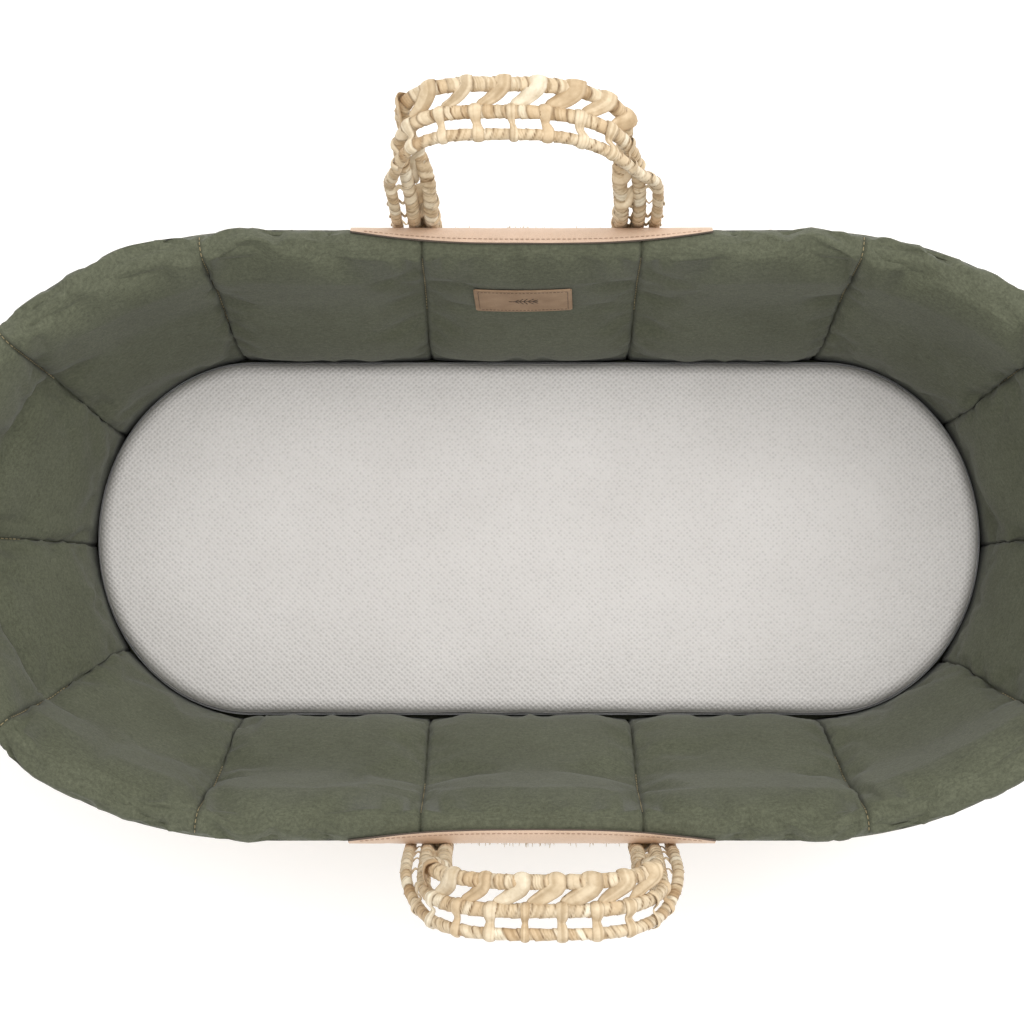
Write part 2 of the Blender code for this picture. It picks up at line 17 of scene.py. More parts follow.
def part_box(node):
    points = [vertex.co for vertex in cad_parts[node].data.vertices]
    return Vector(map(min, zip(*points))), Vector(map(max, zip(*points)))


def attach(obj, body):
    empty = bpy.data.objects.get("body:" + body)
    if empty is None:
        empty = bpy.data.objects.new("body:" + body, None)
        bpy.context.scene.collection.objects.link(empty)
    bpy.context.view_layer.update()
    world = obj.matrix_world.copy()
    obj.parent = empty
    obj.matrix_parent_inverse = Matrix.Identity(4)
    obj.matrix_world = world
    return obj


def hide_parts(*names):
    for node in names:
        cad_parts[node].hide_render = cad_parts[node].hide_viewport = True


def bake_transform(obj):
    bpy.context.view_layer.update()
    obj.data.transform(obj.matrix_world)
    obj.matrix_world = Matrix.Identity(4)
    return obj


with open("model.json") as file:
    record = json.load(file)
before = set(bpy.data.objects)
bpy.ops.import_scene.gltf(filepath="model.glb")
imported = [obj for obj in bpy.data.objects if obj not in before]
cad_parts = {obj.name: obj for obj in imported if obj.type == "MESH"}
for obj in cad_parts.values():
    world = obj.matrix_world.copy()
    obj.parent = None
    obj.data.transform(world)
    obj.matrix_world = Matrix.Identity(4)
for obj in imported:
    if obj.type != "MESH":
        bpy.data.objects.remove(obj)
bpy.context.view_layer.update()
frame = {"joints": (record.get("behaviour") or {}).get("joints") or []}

# The basket's own dimensions, in metres, as in the CAD model.
SPINE_HALF_LENGTH = 0.408
SPINE_HALF_WIDTH = 0.168
SPINE_ROUNDNESS = 1.20
WALL_HEIGHT = 0.236
WALL_FLARE = 0.048
WALL_THICKNESS = 0.008
SHEER = 0.12
RIM_RADIUS = 0.0065
RIM_OUT = WALL_FLARE + WALL_THICKNESS / 2
RIM_UP = 0.243
CREST_RADIUS = 0.013  # of the liner's roll over the rim
SEAMS = (0.084, 0.2445, 0.3761)  # along the spine from the middle of a long side
SKIRT_END = 0.139  # from the middle of a long side, where a trim meets a skirt
SKIRT_FOOT = RIM_UP - 0.055
COURSES = 5  # rows of plait up the wall
GAP = 0.0005  # between pieces that lie against each other
PANELS = 14
NORMAL_REACH = 0.004  # how far each way along an oval its direction is taken from


# Lines and ovals.


def lengths_along(line):
    """The length along a line to each of its points."""
    return np.concatenate([[0.0], np.cumsum(np.linalg.norm(np.diff(line, axis=0), axis=1))])


def read_line(line, steps, places):
    """The points at these lengths along a line. steps is its lengths_along."""
    return np.stack([np.interp(places, steps, line[:, k]) for k in range(line.shape[1])], -1)


class Oval:
    """An oval with straight sides and elliptical ends, read by the length along it."""

    def __init__(self, half_length, half_width, roundness):
        reach = roundness * half_width
        angle = math.pi / 2 + np.pi * np.arange(361) / 360
        left = np.stack([reach - half_length + reach * np.cos(angle), half_width * np.sin(angle)], 1)
        ring = np.concatenate([left[180:], -left, left[: 181]])
        step = np.linalg.norm(np.diff(ring, axis=0), axis=1)
        keep = np.concatenate([[True], step > 1e-9])
        self.ring = ring[keep]
        self.lengths = lengths_along(self.ring)
        self.total = self.lengths[-1]

    def point(self, along):
        return read_line(self.ring, self.lengths, np.mod(along, self.total))

    def even(self, count):
        return self.total * np.arange(count) / count

    def normal(self, along):
        tangent = self.point(along + NORMAL_REACH) - self.point(along - NORMAL_REACH)
        tangent /= np.linalg.norm(tangent, axis=-1, keepdims=True)
        return np.stack([tangent[..., 1], -tangent[..., 0]], -1)


def spine_inside(inset):
    """The spine's oval, this far inside it."""
    return Oval(SPINE_HALF_LENGTH - inset, SPINE_HALF_WIDTH - inset, SPINE_ROUNDNESS)


SPINE = spine_inside(0.0)
QUARTER = SPINE.total / 4
FRONT, REAR = QUARTER, 3 * QUARTER
SEAM_PLACES = sorted({0.0, 2 * QUARTER} | {m + s * a for m in (FRONT, REAR) for a in SEAMS for s in (-1, 1)})
PANEL_ENDS = list(zip(SEAM_PLACES, SEAM_PLACES[1:] + [SPINE.total]))


def wall_out(up):
    """How far the wall's inner face is outside the spine at this height."""
    return WALL_FLARE * (np.clip(up, 0.0, None) / WALL_HEIGHT) ** 0.8


def at(along, out, up):
    """Points in the row frame, with the rise of the basket towards its ends."""
    along, out, up = np.broadcast_arrays(np.asarray(along, float), out, up)
    flat = SPINE.point(along) + SPINE.normal(along) * out[..., None]
    share = flat[..., 0] / (SPINE_HALF_LENGTH + WALL_FLARE)
    return np.stack([flat[..., 0], flat[..., 1], up * (1 + SHEER * share * share)], -1)


def smooth(low, high, value):
    """0 up to low and 1 from high on, with a soft step between."""
    share = np.clip((np.asarray(value, float) - low) / (high - low), 0.0, 1.0)
    return share * share * (3 - 2 * share)


def side_distance(along):
    """How far a place is from the middle of the nearer long side, along the spine."""
    along = np.mod(along, SPINE.total)
    return np.minimum(np.abs(along - FRONT), np.abs(along - REAR))


# Noise, the same each run.


def hashed(*keys):
    """A repeatable number from 0 to 1 for each set of whole numbers."""
    total = np.zeros(np.broadcast(*[np.asarray(k) for k in keys]).shape)
    for i, key in enumerate(keys):
        total = total + np.asarray(key, float) * (12.9898 + 65.233 * i)
    value = np.sin(total + 1.37) * 43758.5453
    return value - np.floor(value)


def noise(x, y, seed=0, wrap_x=0):
    """Smooth noise from -1 to 1 on a plane. wrap_x is the whole period along x, if any."""
    x, y = np.broadcast_arrays(np.asarray(x, float), np.asarray(y, float))
    xi, yi = np.floor(x), np.floor(y)
    fx, fy = x - xi, y - yi
    fx, fy = fx * fx * (3 - 2 * fx), fy * fy * (3 - 2 * fy)

    def corner(dx, dy):
        cx = np.mod(xi + dx, wrap_x) if wrap_x else xi + dx
        return hashed(cx, yi + dy, seed)

    low = corner(0, 0) * (1 - fx) + corner(1, 0) * fx
    high = corner(0, 1) * (1 - fx) + corner(1, 1) * fx
    return 2 * (low * (1 - fy) + high * fy) - 1


# Meshes.


def box(node):
    """A CAD node's lowest and highest corner."""
    return (np.array(corner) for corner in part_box(node))


def grid_faces(rows, columns, wrap_rows=False, wrap_columns=False):
    """The quads of a grid of points, row after row, closed either way or both."""
    faces = []
    for r in range(rows if wrap_rows else rows - 1):
        for c in range(columns if wrap_columns else columns - 1):
            r2, c2 = (r + 1) % rows, (c + 1) % columns
            faces.append((r * columns + c, r * columns + c2, r2 * columns + c2, r2 * columns + c))
    return faces


def tube_faces(rings, sides):
    """The faces of a tube with closed ends, ring after ring."""
    last = range(rings * sides - 1, (rings - 1) * sides - 1, -1)
    return grid_faces(rings, sides, False, True) + [tuple(range(sides)), tuple(last)]


def mesh_object(name, points, faces, finish, face_out=False):
    mesh = bpy.data.meshes.new(name)
    mesh.from_pydata([tuple(p) for p in np.asarray(points, float).reshape(-1, 3)], [], faces)
    mesh.update()
    mesh.shade_smooth()
    made = bpy.data.objects.new(name, mesh)
    bpy.context.scene.collection.objects.link(made)
    mesh.materials.append(finish)
    if face_out:
        recalculate(mesh)
    return made


def recalculate(mesh):
    work = bmesh.new()
    work.from_mesh(mesh)
    bmesh.ops.recalc_face_normals(work, faces=work.faces)
    work.to_mesh(mesh)
    work.free()


def attribute(made, name, values):
    """Stores one number a point, for a material to read."""
    stored = made.data.attributes.new(name, "FLOAT", "POINT")
    stored.data.foreach_set("value", np.asarray(values, np.float32).ravel())


def thickened(made, thickness, offset, bevel=0.0):
    """Gives a sheet its thickness, and rounds its edges where bevel isn't 0."""
    shell = made.modifiers.new("Thickness", "SOLIDIFY")
    shell.thickness, shell.offset = thickness, offset
    if bevel:
        edge = made.modifiers.new("Rounded edges", "BEVEL")
        edge.width, edge.segments, edge.limit_method = bevel, 2, "ANGLE"
    graph = bpy.context.evaluated_depsgraph_get()
    mesh = bpy.data.meshes.new_from_object(made.evaluated_get(graph), depsgraph=graph)
    made.modifiers.clear()
    made.data = mesh


def place(piece, body, slot, *nodes):
    """Says which body a piece rides on, and the CAD nodes that it stands for, which it hides. slot is not
    used.
    """
    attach(piece, body)
    if nodes:
        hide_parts(*nodes)
    return piece


# Materials.


class Finish:
    """A small helper for a node material on one Principled shader."""

    def __init__(self, name, roughness=0.8, metallic=0.0, sheen=0.0, coat=0.0, specular=0.5):
        self.material = bpy.data.materials.new(name)
        self.material.use_nodes = True
        self.tree = self.material.node_tree
        self.shader = self.tree.nodes["Principled BSDF"]
        self.shader.inputs["Roughness"].default_value = roughness
        self.shader.inputs["Metallic"].default_value = metallic
        self.shader.inputs["Sheen Weight"].default_value = sheen
        self.shader.inputs["Sheen Roughness"].default_value = 0.5
        self.shader.inputs["Coat Weight"].default_value = coat
        self.shader.inputs["Specular IOR Level"].default_value = specular
        self.place = self.node("ShaderNodeTexCoord").outputs["Object"]

    def node(self, kind, **settings):
        made = self.tree.nodes.new(kind)
        for key, value in settings.items():
            if key in made.inputs:
                made.inputs[key].default_value = value
            else:
                setattr(made, key, value)
        return made

    def link(self, source, target):
        self.tree.links.new(source, target)

    def noise(self, scale, detail=3.0, rough=0.6, stretch=None, source=None):
        texture = self.node("ShaderNodeTexNoise", Scale=scale, Detail=detail, Roughness=rough)
        self.link(self.stretched(stretch, source), texture.inputs["Vector"])
        return texture.outputs["Fac"]

    def stretched(self, stretch, source=None):
        source = source or self.place
        if not stretch:
            return source
        mapping = self.node("ShaderNodeMapping")
        mapping.inputs["Scale"].default_value = stretch
        self.link(source, mapping.inputs["Vector"])
        return mapping.outputs["Vector"]

    def value(self, name):
        found = self.node("ShaderNodeAttribute")
        found.attribute_name = name
        return found.outputs["Fac"]

    def math(self, operation, first, second=None):
        made = self.node("ShaderNodeMath", operation=operation)
        for socket, source in zip(made.inputs, (first, second)):
            if isinstance(source, (int, float)):
                socket.default_value = source
            elif source is not None:
                self.link(source, socket)
        return made.outputs["Value"]

    def ramp(self, source, *stops):
        made = self.node("ShaderNodeValToRGB")
        ramp = made.color_ramp
        while len(ramp.elements) < len(stops):
            ramp.elements.new(0.5)
        for element, (position, colour) in zip(ramp.elements, stops):
            element.position = position
            element.color = (*colour, 1.0)
        self.link(source, made.inputs["Fac"])
        return made.outputs["Color"]

    def mix(self, share, first, second, blend="MIX"):
        made = self.node("ShaderNodeMix", data_type="RGBA", blend_type=blend)
        for socket, source in ((made.inputs[0], share), (made.inputs[6], first), (made.inputs[7], second)):
            if isinstance(source, (int, float)):
                socket.default_value = source
            elif isinstance(source, tuple):
                socket.default_value = (*source, 1.0)
            else:
                self.link(source, socket)
        return made.outputs[2]

    def colour(self, source):
        self.link(source, self.shader.inputs["Base Color"])

    def roughness(self, source, low, high):
        made = self.node("ShaderNodeMapRange")
        made.inputs["To Min"].default_value = low
        made.inputs["To Max"].default_value = high
        self.link(source, made.inputs["Value"])
        self.link(made.outputs["Result"], self.shader.inputs["Roughness"])

    def bump(self, *layers):
        """layers are (height source, depth in metres)."""
        normal = None
        for source, depth in layers:
            made = self.node("ShaderNodeBump", Strength=1.0, Distance=depth)
            self.link(source, made.inputs["Height"])
            if normal:
                self.link(normal, made.inputs["Normal"])
            normal = made.outputs["Normal"]
        self.link(normal, self.shader.inputs["Normal"])


def liner_cloth():
    """Olive plain-weave cotton: crossing threads, slubs and slight fading, with painted shade along the
    seams.
    """
    cloth = Finish("liner_cloth", roughness=0.88, sheen=0.12, specular=0.25)
    across = cloth.noise(1.0, 2.0, 0.5, (1500, 1500, 90))
    down = cloth.noise(1.0, 2.0, 0.5, (160, 160, 1700))
    weave = cloth.math("ADD", across, down)
    patches = cloth.noise(14, 3.0)
    fade = cloth.ramp(patches, (0.3, (0.083, 0.088, 0.056)), (0.7, (0.104, 0.110, 0.073)))
    threads = cloth.ramp(
        cloth.math("MULTIPLY", weave, 0.5), (0.38, (0.72, 0.72, 0.70)), (0.62, (1.25, 1.25, 1.25))
    )
    slubs = cloth.ramp(cloth.noise(420, 3.0), (0.3, (0.80, 0.80, 0.79)), (0.7, (1.18, 1.18, 1.18)))
    woven = cloth.mix(1.0, cloth.mix(0.6, fade, threads, "MULTIPLY"), slubs, "MULTIPLY")
    # painted shade: the cloth is darkened along each seam's groove, read from the seam attribute
    sewn = cloth.ramp(cloth.value("seam"), (0.25, (1.0, 1.0, 1.0)), (0.9, (0.62, 0.62, 0.60)))
    cloth.colour(cloth.mix(1.0, woven, sewn, "MULTIPLY"))
    cloth.bump((weave, 0.00014), (cloth.noise(55, 3.0), 0.0005))
    cloth.roughness(patches, 0.82, 0.93)
    return cloth.material


def mattress_knit():
    """Warm grey-white jacquard knit with small dimples in staggered rows, and painted shade in each dimple.
    """
    knit = Finish("mattress_knit", roughness=0.85, sheen=0.15, specular=0.3)
    cell = knit.node("ShaderNodeTexVoronoi", Scale=1.0, Randomness=0.22)
    diagonal = knit.node("ShaderNodeMapping")
    diagonal.inputs["Scale"].default_value = (300, 320, 60)
    diagonal.inputs["Rotation"].default_value = (0.0, 0.0, math.radians(45))
    knit.link(knit.place, diagonal.inputs["Vector"])
    knit.link(diagonal.outputs["Vector"], cell.inputs["Vector"])
    dimple = cell.outputs["Distance"]
    # painted shade: darker towards the middle of each dimple
    dimple_painted_shade = knit.ramp(dimple, (0.05, (0.0, 0.0, 0.0)), (0.42, (1.0, 1.0, 1.0)))
    fibres = knit.noise(900, 2.0)
    tone = knit.ramp(knit.noise(9, 3.0), (0.3, (0.655, 0.625, 0.60)), (0.7, (0.71, 0.68, 0.655)))
    shade = knit.mix(0.25, tone, dimple_painted_shade, "MULTIPLY")
    knit.colour(shade)
    knit.bump((dimple, 0.0008), (fibres, 0.0002))
    return knit.material


def palm_leaf(name="palm_leaf", pale=1.0):
    """Dried palm: each strip has its own tone, fine lines along it and painted shade, a dark edge, where it
    tucks in.
    """
    palm = Finish(name, roughness=0.62, specular=0.35, sheen=0.05)
    strip = palm.ramp(
        palm.value("leaf"),
        (0.0, (0.47 * pale, 0.325 * pale, 0.185 * pale)),
        (0.07, (0.60 * pale, 0.455 * pale, 0.29 * pale)),
        (0.45, (0.66 * pale, 0.535 * pale, 0.37 * pale)),
        (0.85, (0.72 * pale, 0.61 * pale, 0.45 * pale)),
        (1.0, (0.82 * pale, 0.745 * pale, 0.60 * pale)),
    )
    blotches = palm.ramp(palm.noise(130, 4.0), (0.3, (0.80, 0.74, 0.66)), (0.65, (1.06, 1.05, 1.03)))
    lines = palm.ramp(palm.value("grain"), (0.15, (0.80, 0.76, 0.70)), (0.55, (1.03, 1.03, 1.02)))
    toned = palm.mix(1.0, palm.mix(1.0, strip, blotches, "MULTIPLY"), lines, "MULTIPLY")
    # painted shade: darkened where a strip tucks under another, read from the tuck attribute
    tuck = palm.ramp(palm.value("tuck"), (0.1, (1.0, 1.0, 1.0)), (0.9, (0.30, 0.215, 0.13)))
    palm.colour(palm.mix(1.0, toned, tuck, "MULTIPLY"))
    palm.bump((palm.value("grain"), 0.0003), (palm.noise(600), 0.00015))
    palm.roughness(palm.value("leaf"), 0.70, 0.48)
    return palm.material


def trim_leather():
    leather = Finish("trim_leather_finish", roughness=0.5, specular=0.4)
    grain = leather.node("ShaderNodeTexVoronoi", Scale=900, Randomness=1.0)
    leather.link(leather.place, grain.inputs["Vector"])
    tone = leather.ramp(leather.noise(30), (0.3, (0.60, 0.435, 0.315)), (0.7, (0.68, 0.50, 0.375)))
    pores = leather.ramp(grain.outputs["Distance"], (0.0, (0.86, 0.84, 0.82)), (0.5, (1.0, 1.0, 1.0)))
    leather.colour(leather.mix(0.8, tone, pores, "MULTIPLY"))
    leather.bump((grain.outputs["Distance"], 0.00025), (leather.noise(120), 0.0003))
    return leather.material


def label_leather():
    leather = Finish("label_leather_finish", roughness=0.62, specular=0.3)
    tone = leather.ramp(
        leather.noise(60, 4.0), (0.25, (0.27, 0.165, 0.095)), (0.75, (0.42, 0.28, 0.175))
    )
    leather.colour(tone)
    leather.bump((leather.noise(700, 3.0), 0.0003))
    return leather.material


def thread(name, colour):
    twine = Finish(name, roughness=0.75, sheen=0.1)
    ply = twine.noise(1400, 2.0)
    twine.colour(twine.ramp(ply, (0.3, tuple(c * 0.7 for c in colour)), (0.7, colour)))
    twine.bump((ply, 0.0002))
    return twine.material


def zip_finish():
    tape = Finish("zip_finish", roughness=0.55)
    weave = tape.noise(1200, 2.0)
    tape.colour(tape.ramp(weave, (0.3, (0.20, 0.20, 0.205)), (0.7, (0.36, 0.36, 0.365))))
    tape.bump((weave, 0.0002))
    return tape.material


def metal_finish():
    metal = Finish("zip_metal_finish", roughness=0.32, metallic=1.0)
    worn = metal.noise(260, 4.0)
    metal.colour(metal.ramp(worn, (0.3, (0.36, 0.36, 0.37)), (0.7, (0.52, 0.52, 0.53))))
    metal.roughness(worn, 0.26, 0.42)
    metal.bump((metal.noise(1.0, 2.0, 0.5, (300, 3000, 300)), 0.00005))
    return metal.material


def plain_cloth(name, dark, light):
    cloth = Finish(name, roughness=0.85)
    weave = cloth.noise(1100, 2.0)
    cloth.colour(cloth.ramp(weave, (0.3, dark), (0.7, light)))
    cloth.bump((weave, 0.0003))
    return cloth.material


# The liner.

PANEL_COLUMNS = 48  # points across each panel
SIM_COLUMNS = 22  # the same in the cloth simulation
FACE_FOOT = 0.0145
FACE_TOP = 0.226
FACE_ROWS = 30
CREST_ROWS = 14
BACK_ROWS = 8
LINER_PAD = 0.014  # thickness between the seams
LINER_END_FULLNESS = 0.012  # how far the liner stands off the wall at the foot of each end
MATTRESS_ROUNDNESS = 0.88
MATTRESS_CLEARANCE = 0.0040
LEAN_FROM, LEAN_TO = 0.045, 0.178  # heights between which the face leaves the mattress for the wall
HELD_UNDER = 0.052  # the mattress holds the cloth below this height
SIM_FRAMES = 18
SIM_PRESSURE = 3.0
SIM_SLACK = 0.045
SIM_CAP = 0.0065  # the most that the simulation may move a point
SEAM_DEPTH = 0.0030
SEAM_HALF_WIDTH = 0.0013
SEAM_SHADE_WIDTH = 0.0011
LINER_ROWS = FACE_ROWS + CREST_ROWS + 2 * BACK_ROWS
CREST_END = FACE_ROWS + CREST_ROWS - 1
SEWN_FROM = FACE_ROWS + 2  # the first row that the leather trims hold down
COTTON = {
    "quality": 5,
    "mass": 0.15,
    "tension_stiffness": 12,
    "compression_stiffness": 12,
    "shear_stiffness": 4,
    "bending_stiffness": 0.35,
    "use_pressure": True,
}
FLOOR_THICKNESS = 0.0008
FLOOR_INSET = 0.003


def liner_places(columns):
    """Places along the spine with this many to a panel, closer together at the seams."""
    share = np.arange(columns) / columns
    share = 0.3 * share + 0.7 * (1 - np.cos(np.pi * share)) / 2
    return np.concatenate([first + (last - first) * share for first, last in PANEL_ENDS])


def seam_distance(along):
    along = np.mod(along, SPINE.total)
    away = [np.minimum(np.abs(along - s), SPINE.total - np.abs(along - s)) for s in SEAM_PLACES]
    return np.min(away, axis=0)


def end_share(along):
    """0 along the sides and 1 round the ends."""
    return smooth(0.25, 0.40, np.abs(SPINE.point(along)[..., 0]))


def liner_back(along, up):
    """How far outside the spine the liner's back is, just inside the wall."""
    ends = smooth(0.34, SPINE_HALF_LENGTH, np.abs(SPINE.point(along)[..., 0]))
    stand = LINER_END_FULLNESS * ends * np.clip(1 - up / WALL_HEIGHT, 0, None)
    return wall_out(up) - 2 * GAP - stand


def room_beside_mattress(along):
    """How far in from the spine the liner can stand at these places, up to the mattress's side."""
    low, high = box("zip_tape")
    centre, half = (low + high)[:2] / 2, (high - low)[:2] / 2
    reach = MATTRESS_ROUNDNESS * half[1]
    inward = np.arange(0.0, 0.08, 0.0002)
    spots = SPINE.point(along)[:, None] - SPINE.normal(along)[:, None] * inward[:, None]
    away = np.abs(spots - centre)
    past = np.clip(away[..., 0] - (half[0] - reach), 0, None) / reach
    over = past**2 + (away[..., 1] / half[1]) ** 2 < 1
    return inward[np.argmax(over, axis=1)] - MATTRESS_CLEARANCE


def liner_section(along):
    """(out, up) of every row of the liner at these places: up its face, over the rim, and down its back.
    Low down, the face leans in to the mattress."""
    crown = 1 - np.exp(-seam_distance(along) / 0.020)
    room = room_beside_mattress(along)
    out, up = [], []
    for height in np.linspace(FACE_FOOT, FACE_TOP, FACE_ROWS):
        foot = min(1.0, 0.5 + 1.6 * height / WALL_HEIGHT)
        quilted = liner_back(along, height) - LINER_PAD * foot * (0.55 + 0.42 * crown)
        lean = 1 - float(smooth(LEAN_FROM, LEAN_TO, height))
        out.append(quilted * (1 - lean) - (room - 0.0035 * (1 - crown)) * lean)
        up.append(np.full_like(along, height))
    puff = CREST_RADIUS - 0.0018 * (1 - crown)
    for angle in np.radians(np.linspace(158, 5, CREST_ROWS)):
        out.append(RIM_OUT + puff * math.cos(angle))
        up.append(RIM_UP + puff * math.sin(angle))
    clear = RIM_RADIUS + 3 * GAP
    for angle in np.radians(np.linspace(5, 180, BACK_ROWS)):
        out.append(np.full_like(along, RIM_OUT + clear * math.cos(angle)))
        up.append(np.full_like(along, RIM_UP + clear * math.sin(angle)))
    for height in np.linspace(0.218, FACE_FOOT, BACK_ROWS):
        out.append(liner_back(along, height))
        up.append(np.full_like(along, height))
    return np.array(out), np.array(up)


def liner_grid(along):
    """The liner's points before its relief, and how high each is up the wall."""
    out, up = liner_section(along)
    return at(np.broadcast_to(along, out.shape), out, up), up


def grid_normals(points):
    """Outward normals of a grid that is closed both ways, rows first."""
    down = np.roll(points, -1, 0) - np.roll(points, 1, 0)
    across = np.roll(points, -1, 1) - np.roll(points, 1, 1)
    normal = np.cross(down, across)
    return normal / np.maximum(np.linalg.norm(normal, axis=-1, keepdims=True), 1e-12)


def puffed(points, held, pressure, slack):
    """How far a cloth simulation moves a closed grid under inside pressure. held marks sewn-down points,
    and slack is how much larger the cloth is cut than the shape."""
    rows, columns = points.shape[:2]
    made = mesh_object("puffing", points, grid_faces(rows, columns, True, True), None, True)
    group = made.vertex_groups.new(name="held")
    group.add([int(i) for i in np.flatnonzero(held.ravel())], 1.0, "REPLACE")
    cloth = made.modifiers.new("Cloth", "CLOTH")
    for key, value in COTTON.items():
        setattr(cloth.settings, key, value)
    cloth.settings.vertex_group_mass = "held"
    cloth.settings.uniform_pressure_force = pressure
    cloth.settings.shrink_min = -slack
    cloth.settings.effector_weights.gravity = 0.0
    cloth.collision_settings.use_collision = False
    scene = bpy.context.scene
    for step in range(1, SIM_FRAMES + 1):
        scene.frame_set(step)
    graph = bpy.context.evaluated_depsgraph_get()
    settled = made.evaluated_get(graph).to_mesh()
    flat = np.empty(rows * columns * 3, np.float32)
    settled.vertices.foreach_get("co", flat)
    made.evaluated_get(graph).to_mesh_clear()
    scene.frame_set(1)
    bpy.data.objects.remove(made)
    return flat.reshape(points.shape).astype(float) - points


def capped(moved, most):
    """The same moves, none longer than most."""
    length = np.linalg.norm(moved, axis=-1, keepdims=True)
    return moved * np.minimum(1.0, most / np.maximum(length, 1e-9))


def simulated_swell(along):
    """The simulated swell of the panels between their seams, read at these places."""
    coarse = liner_places(SIM_COLUMNS)
    points, up = liner_grid(coarse)
    row = np.arange(LINER_ROWS)[:, None]
    held = np.broadcast_to((up < HELD_UNDER) | (row >= CREST_END), up.shape).copy()
    held[:, ::SIM_COLUMNS] = True
    held |= (row >= SEWN_FROM) & (side_distance(coarse) < SKIRT_END)
    moved = capped(puffed(points, held, SIM_PRESSURE, SIM_SLACK), SIM_CAP)
    cycle = np.concatenate([coarse, [SPINE.total]])
    fine = np.empty((LINER_ROWS, len(along), 3))
    for r in range(LINER_ROWS):
        for axis in range(3):
            fine[r, :, axis] = np.interp(along, cycle, np.append(moved[r, :, axis], moved[r, 0, axis]))
    return fine


def crease(along, up, start, end, width, depth):
    """A fold line from start to end, each (along, up), with a low ridge on its upper side."""
    run = np.array(end) - np.array(start)
    length = np.linalg.norm(run)
    run = run / length
    from_start = np.mod(along - start[0] + SPINE.total / 2, SPINE.total) - SPINE.total / 2
    rise = up - start[1]
    share = (from_start * run[0] + rise * run[1]) / length
    bow = 0.10 * length * np.sin(np.pi * np.clip(share, 0, 1))
    side = rise * run[0] - from_start * run[1] - bow
    taper = np.exp(-(((share - 0.45) / 0.42) ** 4))
    ridge = 0.7 * np.exp(-(((side - 1.6 * width) / width) ** 2))
    return depth * taper * (ridge - np.exp(-((side / width) ** 2)))


def creases(along, up):
    """Soft slanting folds: a few on each side panel, and more on the panels round the ends."""
    total = np.zeros(np.broadcast(along, up).shape)
    for panel, (first, last) in enumerate(PANEL_ENDS):
        middle = (first + last) / 2
        round_end = float(end_share(middle))
        for i in range(3 + int(5 * round_end)):
            pick = [float(hashed(panel, i, k)) for k in range(6)]
            start = (first + (last - first) * pick[0], 0.03 + 0.16 * pick[1])
            lean = (pick[2] - 0.5) * 2.4
            reach = 0.035 + 0.060 * pick[3]
            end = (start[0] + reach * math.sin(lean), start[1] + reach * math.cos(lean))
            depth = (0.0007 + 0.0022 * round_end) * (0.4 + 0.6 * pick[4])
            total += crease(along, up, start, end, 0.0035 + 0.004 * pick[5], depth)
    return total


def liner_relief(along, up, row):
    """How far the cloth stands out from its smooth shape: broad softness, folds, puckers and seams."""
    near_seam = seam_distance(along)
    ends = end_share(along)
    turn = along / SPINE.total
    relief = 0.0012 * noise(turn * 64, up / 0.045, 3, 64) * (0.4 + 0.6 * ends)
    relief += 0.0005 * noise(turn * 200, up / 0.016, 5, 200) * (0.3 + 0.7 * ends)
    relief += creases(along, up)
    pull = np.exp(-near_seam / 0.016) * (1 - np.exp(-near_seam / 0.003))
    relief += 0.0012 * pull * noise(turn * 30, up / 0.014, 9, 30)
    rim = smooth(0.185, 0.236, up)
    relief += 0.0016 * rim * ends * noise(turn * 96, up / 0.05, 13, 96)
    sewn_on = (row >= SEWN_FROM) & (side_distance(along) < SKIRT_END + 0.004)
    relief = np.where(sewn_on, 0.25 * np.minimum(relief, 0.0), relief)
    groove = np.exp(-((near_seam / SEAM_HALF_WIDTH) ** 2))
    lip = np.exp(-(((near_seam - 0.0042) / 0.0018) ** 2))
    relief += 0.0003 * lip - SEAM_DEPTH * groove * (0.9 + 0.1 * noise(turn * 7, up / 0.013, 21, 7))
    relief = relief * (1 - smooth(CREST_END - 4, CREST_END, row))
    low_down = 1 - smooth(0.030, 0.070, up)
    relief = relief - low_down * np.clip(relief, 0, None) * 0.8
    return np.where((row <= CREST_END) & (row > 0), relief, 0.0)


def liner(finish):
    """The quilted liner: face, roll over the rim and back in one closed mesh."""
    along = liner_places(PANEL_COLUMNS)
    points, up = liner_grid(along)
    normals = grid_normals(points)
    points = points + simulated_swell(along)
    row = np.arange(LINER_ROWS)[:, None] + np.zeros_like(up, int)
    relief = liner_relief(np.broadcast_to(along, up.shape), up, row)
    points = points + normals * relief[..., None]
    faces = grid_faces(LINER_ROWS, len(along), True, True)
    made = mesh_object("quilted_liner", points, faces, finish, True)
    # how near each point is to a seam, for the painted shade along the seams
    groove = np.exp(-((seam_distance(along) / SEAM_SHADE_WIDTH) ** 2))
    attribute(made, "seam", np.broadcast_to(groove, up.shape))
    place(made, "basket", "liner_fabric", *[f"liner_panel_{i + 1:02d}" for i in range(PANELS)])
    return points, made


def rods(name, runs, radius, finish, sides=6):
    """Short round threads, each from a to b, with rounded ends, in one piece."""
    points, faces = [], []
    for a, b in runs:
        a, b = Vector(a), Vector(b)
        axis = (b - a).normalized()
        across = axis.orthogonal().normalized()
        other = axis.cross(across)
        first = len(points)
        rings = ((0.0, 0.55), (0.18, 1.0), (0.82, 1.0), (1.0, 0.55))
        for share, wide in rings:
            centre = a.lerp(b, share)
            for i in range(sides):
                angle = 2 * math.pi * i / sides
                spot = centre + (across * math.cos(angle) + other * math.sin(angle)) * radius * wide
                points.append(spot[:])
        for ring in range(len(rings) - 1):
            for i in range(sides):
                low = first + ring * sides
                j = (i + 1) % sides
                faces.append((low + i, low + j, low + sides + j, low + sides + i))
        faces.append(tuple(range(first + sides - 1, first - 1, -1)))
        last = first + (len(rings) - 1) * sides
        faces.append(tuple(range(last, last + sides)))
    return mesh_object(name, points, faces, finish)


